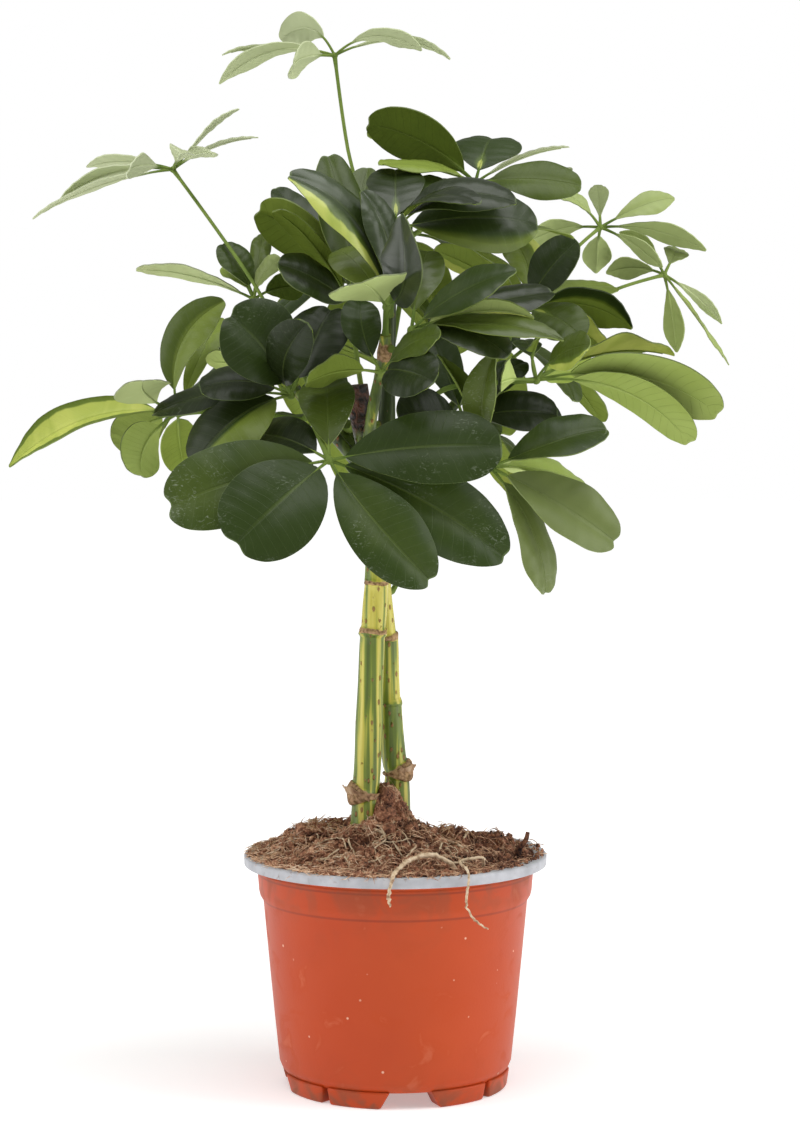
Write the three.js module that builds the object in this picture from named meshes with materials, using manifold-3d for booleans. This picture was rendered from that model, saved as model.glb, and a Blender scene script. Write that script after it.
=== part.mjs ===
// A young umbrella plant in a nursery pot, in millimetres, +Z up.
// The pot's axis is the first reference. Places in the crown are given as they are seen from the front: x to
// the right and z up on the upright plane through the pot, and a depth behind (+) or before (-) that plane.

import * as THREE from "three";
import { mergeVertices } from "three/addons/utils/BufferGeometryUtils.js";
import Module from "manifold-3d";

const wasm = await Module();
wasm.setup();

// Driving dimensions of the pot
const RIM_RADIUS = 65.3;
const POT_HEIGHT = 100.5;
const RIM_HEIGHT = 4.5;
const WALL = 1.2;
const NECK_RADIUS = 60.5;
const COLLAR_RADIUS = 58.5;
const COLLAR_Z = 83.2;
const SHOULDER_RADIUS = 57;
const SHOULDER_Z = 80.7;
const HEEL_RADIUS = 50.2;
const HEEL_Z = 11;
const FOOT_HEIGHT = 6.8;
const FLOOR_Z = FOOT_HEIGHT + 1.4;
const FLOOR_RADIUS = 46;
const HEEL_CUT = 2.4;
const RIM_ROUND = 0.9;
const RIM_DROP = 1.1;
const UNDERCUT = 0.2;
const INNER_RISE = 0.8;
const STEP_RISE = 0.6;
const FOOT_OUTER = 49.4;
const FOOT_INNER = 38;
const FOOT_ARC = 33.5;
const FOOT_SLOT = 2.5;
const FOOT_DRAFT = 1;
const FOOT_SLOPE = 5;
const FOOT_SINK = 0.6;
const SLOT_SLOPE = 1.2;
const FIRST_FOOT = -72;
const DRAIN_RADIUS = 4.5;
const DRAIN_CIRCLE = 42;
const DRAIN_DEPTH = 4;
const DRAIN_SINK = 0.7;
const DRAIN_SIDES = 10;
const POT_SIDES = 36;

// Driving dimensions of the soil
const GAP = 0.3;
const SOIL_EDGE = 99.3;
const SOIL_RADIUS = 58;
const EDGE_EASE = 12;
const CLOD_HEIGHT = 0.9;
const CLOD_LIFT = 0.6;
const SOIL_FOOT = 44;
const SOIL_FOOT_RISE = 2;
const SOIL_EDGE_DROP = 3;
const WALL_GAP = 0.6;
const COLLAR_GAP = 0.5;
const NECK_GAP = 0.9;
const SOCKET_GAP = 0.1;
const GROOVE_GAP = 0.2;
const MOUND_X = -5.5;
const MOUND_HEIGHT = 13;
const MOUND_SPREAD = 34;
const PEAK_HEIGHT = 14;
const PEAK_SPREAD = 11;
const SOIL_RINGS = [56, 48, 40, 32, 24.5, 17.5, 11, 5];
const SOIL_SIDES = 34;
// Lumps on the surface: x and y of the middle, height and spread
const SOIL_LUMPS = [
  [25, 3, 5, 8],
  [46, 10, 5, 11],
  [-42, 8, 6, 17],
  [-30, 24, 3, 12],
];

// Driving dimensions of the leaves
const BLADE = 0.8;
const STALK_WIDTH = 1.7;
const STALK_THICKNESS = 1.4;
const PETIOLE = 1.15;
const HUB = 2.3;
const CLEAR = 0.35;
const SEAT = 0.45;
const STALK_SIDES = 5;
const BEND_STEP = 5;
const BEND_STEPS = 20;

// The eye of the front view, in the plane's own coordinates, and where the pot stands in them. The plant
// leans a little to the left about a point half way up.
const EYE_DISTANCE = 1200;
const EYE_X = 1.7;
const EYE_Z = 305;
const POT_X = -0.3;
const TABLE_Z = 2;
const LEAN = 0.8;
const LEAN_Z = 227;

// A place seen at (x, z) that lies at a depth from the plane
function seen(x, z, depth) {
  const upright = new THREE.Vector2(x, z).rotateAround(new THREE.Vector2(EYE_X, LEAN_Z), degrees(LEAN));
  const eye = new THREE.Vector2(EYE_X, EYE_Z);
  const place = upright.sub(eye).multiplyScalar(1 + depth / EYE_DISTANCE).add(eye);
  return new THREE.Vector3(place.x - POT_X, depth, place.y - TABLE_Z);
}

// The same place for the front view, further from the eye
function further(point, step) {
  const eye = new THREE.Vector3(EYE_X - POT_X, -EYE_DISTANCE, EYE_Z - TABLE_Z);
  return point.clone().sub(eye).multiplyScalar(1 + step / (point.y + EYE_DISTANCE)).add(eye);
}

function degrees(angle) {
  return THREE.MathUtils.degToRad(angle);
}

// A closed body through rings that have the same number of points, with a flat fan on each end
function loft(rings) {
  const sides = rings[0].length;
  const places = rings.flat().flatMap((point) => point.toArray());
  const faces = [];
  for (let ring = 0; ring + 1 < rings.length; ring += 1) {
    for (let side = 0; side < sides; side += 1) {
      const next = (side + 1) % sides;
      const a = ring * sides + side;
      const b = ring * sides + next;
      faces.push(a, b, b + sides, a, b + sides, a + sides);
    }
  }
  const last = (rings.length - 1) * sides;
  for (let side = 1; side + 1 < sides; side += 1) {
    faces.push(0, side + 1, side);
    faces.push(last, last + side, last + side + 1);
  }
  const geometry = new THREE.BufferGeometry();
  geometry.setAttribute("position", new THREE.Float32BufferAttribute(places, 3));
  geometry.setIndex(faces);
  return geometry;
}

function solid(geometry) {
  const bare = geometry.clone();
  bare.deleteAttribute("normal");
  bare.deleteAttribute("uv");
  const merged = mergeVertices(bare, 1e-3);
  const vertProperties = new Float32Array(merged.attributes.position.array);
  const triVerts = new Uint32Array(merged.index.array);
  return new wasm.Manifold(new wasm.Mesh({ numProp: 3, vertProperties, triVerts }));
}

function bodyGeometry(body) {
  const mesh = body.getMesh();
  const geometry = new THREE.BufferGeometry();
  geometry.setAttribute("position", new THREE.Float32BufferAttribute(mesh.vertProperties, 3));
  geometry.setIndex(Array.from(mesh.triVerts));
  geometry.computeVertexNormals();
  return geometry;
}

// The largest piece, where a cut leaves loose crumbs
function largest(body) {
  return body.decompose().reduce((best, piece) => (piece.volume() > best.volume() ? piece : best));
}

function together(bodies) {
  return bodies.reduce((sum, body) => sum.add(body));
}

function boxesTouch(one, other) {
  return [0, 1, 2].every((axis) => one.min[axis] <= other.max[axis] && other.min[axis] <= one.max[axis]);
}

function crosses(probe, body) {
  return boxesTouch(probe.boundingBox(), body.boundingBox()) && probe.intersect(body).volume() > 1e-4;
}

// A round bar along a smooth curve
function bar(points, radius, sides, steps) {
  const section = new THREE.Shape();
  for (let side = 0; side < sides; side += 1) {
    const turn = (side / sides) * 2 * Math.PI;
    const place = [radius * Math.cos(turn), radius * Math.sin(turn)];
    if (side === 0) section.moveTo(...place);
    else section.lineTo(...place);
  }
  section.closePath();
  const extrudePath = new THREE.CatmullRomCurve3(points, false, "centripetal");
  return solid(new THREE.ExtrudeGeometry(section, { steps, extrudePath, bevelEnabled: false }));
}

// A stem: rings of its own thickness at each point of its route
function stem(route, sides) {
  const points = route.map(([x, z, depth]) => seen(x, z, depth));
  const side = new THREE.Vector3(1, 0, 0);
  const rings = points.map((point, index) => {
    const before = points[Math.max(index - 1, 0)];
    const after = points[Math.min(index + 1, points.length - 1)];
    const along = after.clone().sub(before).normalize();
    side.addScaledVector(along, -side.dot(along)).normalize();
    const front = along.clone().cross(side);
    const radius = route[index][3];
    return Array.from({ length: sides }, (_, corner) => {
      const turn = (corner / sides) * 2 * Math.PI;
      const offset = side.clone().multiplyScalar(radius * Math.cos(turn));
      return offset.addScaledVector(front, radius * Math.sin(turn)).add(point);
    });
  });
  return solid(loft(rings));
}

function part(name, body, colour, roughness) {
  const material = new THREE.MeshStandardMaterial({ color: colour, roughness, metalness: 0 });
  const mesh = new THREE.Mesh(bodyGeometry(body), material);
  mesh.name = name;
  return mesh;
}

// The pot is one thin shell: floor, tapered wall, collar and a rolled rim, on eight feet
function potWall(z) {
  const share = (z - HEEL_Z) / (SHOULDER_Z - HEEL_Z);
  return HEEL_RADIUS + (SHOULDER_RADIUS - HEEL_RADIUS) * share;
}

function makePot() {
  const flange = POT_HEIGHT - RIM_HEIGHT;
  const outline = [
    [0, FLOOR_Z],
    [FLOOR_RADIUS, FLOOR_Z],
    [HEEL_RADIUS - WALL, HEEL_Z + INNER_RISE],
    [SHOULDER_RADIUS - WALL, SHOULDER_Z + STEP_RISE],
    [COLLAR_RADIUS - WALL, COLLAR_Z + INNER_RISE],
    [NECK_RADIUS - WALL, POT_HEIGHT],
    [RIM_RADIUS - RIM_ROUND, POT_HEIGHT],
    [RIM_RADIUS, POT_HEIGHT - RIM_DROP],
    [RIM_RADIUS, flange],
    [NECK_RADIUS - UNDERCUT, flange],
    [COLLAR_RADIUS, COLLAR_Z],
    [SHOULDER_RADIUS, SHOULDER_Z],
    [HEEL_RADIUS, HEEL_Z],
    [HEEL_RADIUS - HEEL_CUT, FOOT_HEIGHT],
    [0, FOOT_HEIGHT],
  ];
  const profile = outline.reverse().map(([radius, z]) => new THREE.Vector2(radius, z));
  const turned = new THREE.LatheGeometry(profile, POT_SIDES);
  turned.rotateX(Math.PI / 2);
  let body = solid(turned);
  for (let quarter = 0; quarter < 4; quarter += 1) {
    for (let twin = 0; twin < 2; twin += 1) {
      const start = FIRST_FOOT + 90 * quarter + twin * (FOOT_ARC + FOOT_SLOT);
      const slopes = twin === 0 ? [FOOT_SLOPE, SLOT_SLOPE] : [SLOT_SLOPE, FOOT_SLOPE];
      body = body.add(makeFoot(start, start + FOOT_ARC, ...slopes));
    }
    const middle = FIRST_FOOT + 90 * quarter - (90 - 2 * FOOT_ARC - FOOT_SLOT) / 2;
    body = body.subtract(drain(DRAIN_CIRCLE, middle));
  }
  return body.subtract(drain(0, 0));
}

// Turns are measured from the front (-Y) towards the right (+X)
function onPot(radius, turn) {
  return new THREE.Vector2(radius * Math.sin(degrees(turn)), -radius * Math.cos(degrees(turn)));
}

// One foot: an arc of a ring, narrower at the bottom, with a long slope at the end that faces no twin
function makeFoot(from, to, fromSlope, toSlope) {
  const ring = (z, draft, start, end) => {
    const arc = (radius, share) => {
      const place = onPot(radius, start + (end - start) * share);
      return new THREE.Vector3(place.x, place.y, z);
    };
    const outer = [0, 1 / 3, 2 / 3, 1].map((share) => arc(FOOT_OUTER - draft, share));
    const inner = [1, 0.5, 0].map((share) => arc(FOOT_INNER + draft, share));
    return [...outer, ...inner];
  };
  const bottom = ring(0, FOOT_DRAFT, from + fromSlope, to - toSlope);
  return solid(loft([bottom, ring(FOOT_HEIGHT + FOOT_SINK, 0, from, to)]));
}

function drain(radius, turn) {
  const hole = new THREE.CylinderGeometry(DRAIN_RADIUS, DRAIN_RADIUS, DRAIN_DEPTH, DRAIN_SIDES);
  hole.rotateX(Math.PI / 2);
  const centre = onPot(radius, turn);
  hole.translate(centre.x, centre.y, FLOOR_Z - DRAIN_SINK);
  return solid(hole);
}

// The soil's surface: a mound round the canes, a lump to its right, and clods
function clods(x, y) {
  const coarse = Math.sin(0.31 * x + 1.3) * Math.sin(0.27 * y + 0.4) + Math.sin(0.19 * x - 0.23 * y + 2.1);
  const fine = Math.sin(0.83 * x + 0.35 * y) * Math.sin(0.71 * y - 0.29 * x + 1.7);
  return CLOD_HEIGHT * coarse + CLOD_HEIGHT * fine;
}

function bump(x, y, centreX, centreY, height, spread) {
  return height * Math.exp(-((x - centreX) ** 2 + (y - centreY) ** 2) / spread ** 2);
}

function soilHeight(x, y) {
  const radius = Math.hypot(x, y);
  const inside = Math.min(1, Math.max(0, (SOIL_RADIUS - radius) / EDGE_EASE));
  const mound = bump(x, y, MOUND_X, 0, MOUND_HEIGHT, MOUND_SPREAD);
  const peak = bump(x, y, MOUND_X, 1, PEAK_HEIGHT, PEAK_SPREAD);
  const lump = SOIL_LUMPS.reduce((sum, place) => sum + bump(x, y, ...place), 0);
  return SOIL_EDGE + mound + peak + inside * (lump + clods(x, y) + CLOD_LIFT);
}

function makeSoil(cutters) {
  const ringAt = (radius, height) => Array.from({ length: SOIL_SIDES }, (_, side) => {
    const place = onPot(radius, (side / SOIL_SIDES) * 360);
    return new THREE.Vector3(place.x, place.y, height(place.x, place.y));
  });
  const flat = (z) => () => z;
  const low = HEEL_Z + SOIL_FOOT_RISE;
  const chord = Math.cos(Math.PI / POT_SIDES);
  const rings = [
    ringAt(SOIL_FOOT, flat(FLOOR_Z + GAP)),
    ringAt((potWall(low) - WALL - WALL_GAP) * chord, flat(low)),
    ringAt((SHOULDER_RADIUS - WALL - WALL_GAP) * chord, flat(SHOULDER_Z)),
    ringAt((COLLAR_RADIUS - WALL - COLLAR_GAP) * chord, flat(COLLAR_Z + SOIL_FOOT_RISE)),
    ringAt((NECK_RADIUS - WALL - NECK_GAP) * chord, flat(SOIL_EDGE - SOIL_EDGE_DROP)),
    ...SOIL_RINGS.map((radius) => ringAt(radius, soilHeight)),
  ];
  return largest(cutters.reduce((body, cutter) => body.subtract(cutter), solid(loft(rings))));
}

// Canes and their green shoots. Each row: x, z and depth as seen from the front, and the radius.
const CANE_LEFT = [
  [-15.6, 58, -5, 5.6],
  [-15.4, 112, -5, 6],
  [-14.8, 125, -5, 5.9],
  [-15.3, 126.5, -5, 7],
  [-15.2, 130, -5, 7.4],
  [-14.6, 131, -5, 5.8],
  [-13, 150, -4.5, 5.8],
  [-12, 170, -4, 5.7],
  [-10.6, 195.5, -4, 5.4],
  [-10.5, 197, -4, 6],
  [-10.3, 199, -4, 6],
  [-10.1, 200.5, -4, 5.2],
  [-8.6, 218, -3.5, 5],
  [-8.5, 219.5, -3.5, 5.5],
  [-8.4, 221, -3.5, 5],
  [-8, 245, -3, 4.9],
  [-10, 270, -3, 4.8],
  [-14, 290, -3, 4.7],
  [-15.5, 304, -4, 4.6],
];
const CANE_RIGHT = [
  [-0.6, 58, 7.5, 5.4],
  [-0.8, 128, 7.5, 5.5],
  [-0.9, 134.5, 7.5, 5.5],
  [-0.5, 136, 7.5, 6.7],
  [-0.7, 139, 7.5, 6.6],
  [-1.6, 140.5, 7.5, 5.4],
  [-3.6, 166, 8, 5.2],
  [-3.6, 167.5, 8, 5.6],
  [-3.9, 169, 8, 5.1],
  [-4.6, 194, 8.5, 5],
  [-4.7, 195.5, 8.5, 5.5],
  [-5.2, 197, 8.5, 4.9],
  [-7, 217, 9, 4.8],
  [-6, 245, 9.5, 4.6],
  [-4, 270, 10, 4.3],
  [-3, 292, 12, 3.6],
  [-2, 315, 14, 3],
  [-1, 340, 16, 2.7],
  [0, 357, 17, 2.3],
];
const SHOOT_CENTRE = [
  [-12, 272, -4, 2.6],
  [-9.6, 290, -13, 2.4],
  [-6.6, 305, -18, 2.3],
  [-4.6, 313, -21, 2.6],
  [-3.6, 318, -23, 3.1],
  [-3.2, 325, -26, 2.5],
];
const SHOOT_LEFT = [
  [-10, 262, -4, 2.7],
  [-21, 277, -5, 2.5],
  [-33, 291, -7, 2.4],
  [-42, 303, -8, 2.2],
];
const SHOOT_RIGHT = [
  [-4, 258, 9, 2.8],
  [9, 276, 16, 2.6],
  [26, 295, 21, 2.4],
  [42, 308, 24, 2.2],
];
const SHOOT_BACK = [
  [-6, 250, 10, 2.8],
  [-12, 276, 26, 2.5],
  [-20, 300, 42, 2.3],
  [-24, 316, 54, 2.1],
];
const CANE_SIDES = 9;
const SHOOT_SIDES = 6;
const SOCKET_ROWS = 6;
const STEMS = {
  cane_left: CANE_LEFT,
  cane_right: CANE_RIGHT,
  shoot_centre: SHOOT_CENTRE,
  shoot_left: SHOOT_LEFT,
  shoot_right: SHOOT_RIGHT,
  shoot_back: SHOOT_BACK,
};

// Roots that hang over the rim or lie on the soil: x, y and z in the pot's own frame
const ROOTS = [
  {
    name: "root_thick",
    radius: 1,
    steps: 16,
    route: [
      [28, -46, 95], [23, -48, 103.5], [16, -48, 107.2], [9, -51, 107], [4, -56, 105.2],
      [1, -61, 103.2], [-0.7, -65.8, 101.9], [-1.9, -67.6, 97.5], [-2.8, -67, 92.5], [-2, -66.6, 89],
    ],
  },
  {
    name: "root_thin",
    radius: 0.6,
    steps: 24,
    route: [
      [36, -37, 97], [37, -42.5, 103.5], [36, -47, 106], [31, -47, 105.5], [27, -47, 104.5],
      [27.4, -52, 103.8], [29.6, -57.9, 103], [30.2, -61.8, 98.4], [29.2, -61.2, 92], [29.8, -60.2, 87],
      [32.5, -58, 82.4], [35.5, -56.2, 79.4], [38.4, -54.8, 77.4],
    ],
  },
];
const ROOT_SUNK = -3;
const ROOT_LIFT = 0.2;
const SURFACE_ROOTS = [
  {
    name: "root_left_arch",
    radius: 0.8,
    steps: 9,
    route: [[-27, -6], [-19, -11], [-11, -13], [-4, -17], [1, -27], [4, -34]],
  },
  {
    name: "root_left_low",
    radius: 0.7,
    steps: 6,
    route: [[-41, -38], [-35, -36], [-28, -33], [-22, -29]],
  },
  {
    name: "root_right_arch",
    radius: 0.7,
    steps: 7,
    route: [[17, -6], [24, -9], [30, -14], [32, -24]],
  },
];

function rootPoints(root) {
  if (root.route[0].length === 3) return root.route.map((place) => new THREE.Vector3(...place));
  const end = root.route.length - 1;
  return root.route.map(([x, y], index) => {
    const sunk = index === 0 || index === end ? ROOT_SUNK : ROOT_LIFT;
    return new THREE.Vector3(x, y, soilHeight(x, y) + sunk);
  });
}

// The leaves, from the front of the crown to its back. at is the share of the stem's rows where the leaf
// stalk starts, via the places that it passes and hub where the leaflets meet. reach is the length of a
// leaflet, and stalk that of its own stalk. A flat leaf has no fold along its ribs.
// A row is one leaflet: x and z of its tip as seen; the share of its unseen length that points away from the
// eye (+) or towards it (-); its width; how far its upper face is turned to the eye (0 to 1) or away from it
// (to -1); how far its middle arches up; how far its middle swings right or up; and its tip's notch.
const LEAVES = [
  {
    name: "leaf_front",
    stem: "shoot_left", at: 0.93, via: [[-38, 296, -36]], hub: [-28, 272, -60], reach: 80, stalk: 7,
    leaflets: [
      [-70, 236, -0.4, 40, 0.72, 5, 1, 2],
      [-99, 253, -0.2, 35, 0.72, 5, 0, 2.5],
      [16, 219, -0.3, 33, 0.72, 5, -4, 2],
      [47, 229, 0, 36, 0.72, 5, 2, 1],
      [46, 277, 0, 34, 0.69, 5, 0, 0],
      [-29, 307, 0.5, 24, 0.11, 4, 0, 0],
      [-65, 284, 0.4, 30, 0.36, 4, 0, 0],
    ],
  },
  {
    name: "leaf_front_right",
    stem: "cane_left", at: 0.83, via: [[18, 269, -28]], hub: [41, 268, -42], reach: 62, stalk: 8,
    leaflets: [
      [91, 285, 0, 27, 0.46, 3, -2, 0],
      [95, 235, -0.2, 30, 0.64, 4, -1, 1.5],
      [65, 213, -0.1, 24, 0.42, 5, 1, 1],
      [84, 258, 0.6, 24, 0.28, 4, 0, 0],
      [70, 262, 0.9, 20, -0.22, 4, 0, 0],
      [45, 320, -0.3, 17, 0.69, 4, -3, 0],
      [19, 317, 0.3, 12, 0.44, 4, 0, 0],
    ],
  },
  {
    name: "leaf_left_mid",
    stem: "shoot_left", at: 1, via: [], hub: [-44, 300, -28], reach: 58, stalk: 8,
    leaflets: [
      [-70, 336, -0.5, 38, 0.72, 5, 0, 2],
      [-37, 330, -0.7, 20, 0.86, 4, -4, 0],
      [-26, 338, 0.1, 29, 0.64, 4, 2, 1.5],
      [-83, 304, -0.3, 25, 0.42, 5, 0, 0],
      [-86, 271, -0.5, 35, 0.5, 8, 0, 0],
      [-103, 293, 0.3, 24, 0.29, 5, 0, 0],
      [-79, 316, 0.7, 18, -0.39, 4, 0, 0],
    ],
  },
  {
    name: "leaf_centre",
    stem: "shoot_centre", at: 1, via: [], hub: [-2.5, 337, -32], reach: 68, stalk: 7,
    leaflets: [
      [-43, 395, -0.1, 28, 0.5, 5, 10, 1],
      [-12, 387, 0.1, 20, 0.42, 4, 4, 0],
      [3, 376, -0.4, 28, 0.72, 4, 13, 0],
      [-23, 363, 0.4, 20, 0.5, 4, 0, 0],
      [-13, 347, -0.6, 33, -0.36, 3, 0, 0],
    ],
  },
  {
    name: "leaf_centre_right",
    flat: true,
    stem: "shoot_centre", at: 0.86, via: [], hub: [8, 327, -35], reach: 68, stalk: 8,
    leaflets: [
      [61, 333, -0.4, 23, -0.36, 5, 0, 0],
      [73, 322, -0.2, 20, 0.26, 5, 0, 0],
      [53, 352, -0.1, 27, 0.47, 4, 0, 0],
      [68, 342, 0.6, 24, 0.42, 3, 0, 0],
      [50, 317, -0.3, 24, 0.3, 5, 0, 0],
      [15, 361, 0.3, 20, 0.5, 4, 0, 0],
    ],
  },
  {
    name: "leaf_centre_low",
    flat: true,
    stem: "shoot_centre", at: 0.5, via: [], hub: [-5, 309, -42], reach: 54, stalk: 7,
    leaflets: [
      [-13, 341, 0.2, 17, 0.67, 3, -4, 0],
      [-37, 305, -0.2, 22, -0.42, 4, 0, 0],
      [17, 305, -0.6, 24, 0.61, 4, 0, 0],
      [20, 326, 0.5, 18, 0.44, 3, 0, 0],
    ],
  },
  {
    name: "leaf_right",
    flat: true,
    stem: "shoot_right", at: 0.28, via: [[19, 300, 4], [30, 303, -2]],
    hub: [61, 305, -8], reach: 74, stalk: 14,
    leaflets: [
      [140, 290, -0.3, 31, -0.53, 7, 6, 1],
      [127, 277, 0.2, 21, -0.47, 4, 10, 1],
      [120, 316, 0.6, 26, -0.22, 6, 0, 0],
      [83, 321, -0.4, 20, 0.5, 3, 0, 0],
      [56, 324, 0.4, 13, 0.22, 3, 0, 0],
      [63, 323, -0.2, 13, 0.28, 3, 0, 0],
      [84, 311, 0.7, 18, -0.6, 4, 0, 0],
      [44, 301, -0.6, 25, -0.66, 5, 0, 0],
    ],
  },
  {
    name: "leaf_left",
    stem: "shoot_left", at: 0.72, via: [[-64, 294, -4]], hub: [-92, 293, -6], reach: 60, stalk: 9,
    leaflets: [
      [-165, 271, 0, 21, 0.42, 5, 9, 0],
      [-107, 308, -0.4, 27, -0.64, 4, -6, 0],
      [-110, 266, -0.2, 26, -0.64, 4, -3, 0],
      [-119, 279, 0.2, 22, -0.5, 4, 0, 0],
      [-72, 341, 0.2, 23, 0.53, 4, -9, 0],
      [-73, 333, 0.6, 12, 0.33, 3, 0, 0],
      [-90, 268, 0.8, 18, 0.11, 4, 0, 0],
    ],
  },
  {
    name: "leaf_upper_mid",
    flat: true,
    stem: "cane_right", at: 0.93, via: [], hub: [2, 370, -6], reach: 60, stalk: 7,
    leaflets: [
      [53, 380, -0.3, 27, 0.44, 11, 0, 0],
      [63, 372, 0.1, 34, 0.58, 6, -1, 0],
      [2, 396, 0.6, 26, 0.06, 3, 0, 1.5],
      [38, 381, -0.6, 18, 0.25, 8, 0, 0],
      [22, 391, 0.6, 20, 0.22, 4, 0, 0],
      [78, 366, 0.3, 13, 0.11, 5, 0, 0],
    ],
  },
  {
    name: "leaf_left_back",
    flat: true,
    stem: "shoot_left", at: 0.55, via: [[-42, 318, 8]], hub: [-59, 341, 24], reach: 46, stalk: 6,
    leaflets: [
      [-109, 355, 0, 15, -0.3, 4, -1, 0],
      [-72, 365, -0.3, 16, 0.56, 3, 0, 0],
      [-70, 356, 0.4, 13, 0.39, 3, 0, 0],
      [-47, 358, -0.1, 14, 0.5, 3, 0, 0],
      [-54, 370, 0.6, 9, 0.33, 3, 0, 0],
      [-37, 346, 0.1, 20, -0.39, 3, 0, 0],
      [-62, 328, 0.9, 16, 0.11, 3, 0, 0],
    ],
  },
  {
    name: "leaf_upper_left",
    flat: true,
    stem: "shoot_left", at: 0.82, via: [[-55, 341, 8], [-71, 366, 26]],
    hub: [-92.5, 396.5, 56], reach: 56, stalk: 9,
    leaflets: [
      [-153, 377, -0.1, 15, -0.11, 4, 0, 0],
      [-141, 385, 0.3, 15, -0.27, 6, 0, 0],
      [-129, 399, 0.6, 13, -0.33, 3, 0, 0],
      [-112, 397, -0.6, 15, -0.6, 3, 0, 0],
      [-88, 405, -0.9, 13, -0.33, 3, 0, 0],
      [-65, 423, 0.1, 12, -0.2, 1, 0, 0],
      [-74, 404, -0.6, 13, -0.28, 3, 0, 0],
      [-56, 410, 0.3, 12, -0.2, 3, 0, 0],
    ],
  },
  {
    name: "leaf_upper_centre",
    flat: true,
    stem: "cane_right", at: 0.82, via: [], hub: [-18, 339, 8], reach: 64, stalk: 7,
    leaflets: [
      [-57, 380, 0, 29, -0.53, 4, 3, 1.5],
      [-49, 380, -0.5, 15, -0.3, 4, 0, 0],
      [-27, 402, 0.2, 27, 0.7, 4, 0, 1],
      [-10, 396, 0.5, 20, 0.39, 4, 0, 0],
      [-49, 388, 0.4, 18, 0.4, 4, 0, 0],
      [-48, 357, 0.4, 32, 0.56, 4, -3, 0],
    ],
  },
  {
    name: "leaf_right_back",
    flat: true,
    stem: "shoot_right", at: 1, via: [[50, 324, 26]], hub: [57, 335, 30], reach: 54, stalk: 7,
    leaflets: [
      [79, 364, -0.4, 23, 0.72, 4, 0, 0],
      [50, 367, 0.3, 18, 0.44, 3, 4, 0],
      [103, 327, 0, 24, -0.39, 8, 0, 0],
      [95, 344, 0.4, 20, 0.27, 4, 0, 0],
      [81, 323, -0.6, 22, 0.5, 4, 0, 0],
      [93, 316, 0.2, 18, -0.42, 4, 0, 0],
      [18, 361, -0.1, 19, -0.4, 4, 0, 0],
    ],
  },
  {
    name: "leaf_low_right",
    flat: true,
    stem: "shoot_right", at: 0.55, via: [], hub: [30, 288, 2], reach: 50, stalk: 7,
    leaflets: [
      [70, 290, -0.1, 26, 0.53, 4, 0, 0],
      [73, 289, 0.5, 22, 0.5, 4, 0, 0],
      [56, 313, 0.3, 22, 0.33, 4, 0, 0],
      [15, 327, 0.1, 17, 0.67, 3, 0, 0],
      [2, 291, -0.6, 24, 0.6, 4, 0, 0],
    ],
  },
  {
    name: "leaf_upper_right",
    flat: true,
    stem: "cane_right", at: 1, via: [[20, 374, 28]], hub: [36, 389, 36], reach: 56, stalk: 7,
    leaflets: [
      [-10, 415, -0.1, 27, -0.61, 4, 3, 1],
      [-9, 411, 0.4, 22, -0.28, 4, 0, 0],
      [-5, 397, -0.3, 18, 0.2, 3, 0, 0],
      [44, 410, 0.5, 31, 0.3, 3, 0, 3],
      [76, 404, 0.3, 15, -0.16, 3, 0, 0],
      [77, 394, 0.6, 15, -0.16, 1, 0, 0],
      [81, 387, -0.2, 22, 0.55, 4, -1, 0],
    ],
  },
  {
    name: "leaf_crown_top",
    flat: true,
    stem: "cane_right", at: 0.97, via: [[-12, 380, 40], [-18, 404, 56]],
    hub: [-23, 443.5, 70], reach: 52, stalk: 8,
    leaflets: [
      [-45, 451, 0.4, 16, -0.66, 2, 8, 0],
      [-71, 446, 0.2, 13, -0.07, 3, 0, 0],
      [-72, 432, -0.1, 14, -0.44, 4, 8, 0],
      [-42, 439, -0.7, 18, -0.55, 4, 0, 0],
      [14, 445, -0.2, 12, -0.4, 3, 8, 0],
      [27, 443, 0.4, 13, -0.07, 7, 0, 0],
    ],
  },
  {
    name: "leaf_far_right",
    flat: true,
    stem: "shoot_right", at: 0.9, via: [[60, 338, 62], [80, 362, 84]],
    hub: [89, 369.5, 92], reach: 44, stalk: 7,
    leaflets: [
      [88, 388, 0.8, 11, 0.06, 2, 0, 0],
      [121, 382, 0.2, 15, 0.64, 3, 0, 0],
      [134, 359, 0, 13, -0.5, 5, 1, 0],
      [57, 363, 0, 15, -0.64, 6, 0, 0],
      [70, 386, 0.3, 12, 0.38, 3, 0, 0],
      [87, 350, 0.5, 16, 0, 3, 0, 0],
      [115, 352, -0.2, 12, -0.53, 3, 0, 0],
    ],
  },
  {
    name: "leaf_far_right_low",
    flat: true,
    stem: "shoot_right", at: 0.8, via: [[66, 326, 52], [95, 343, 78]],
    hub: [116, 349, 90], reach: 42, stalk: 6,
    leaflets: [
      [98, 368, 0, 13, -0.58, 3, 0, 0],
      [91, 351, -0.2, 14, -0.56, 4, 0, 0],
      [123, 361, 0.2, 14, 0.6, 2, 0, 0],
      [141, 328, 0, 14, -0.58, 3, 0, 0],
      [121, 316, 0, 13, -0.67, 2, 0, 0],
      [143, 310, 0.2, 9, 0.2, 1, 1, 0],
    ],
  },
];

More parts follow.
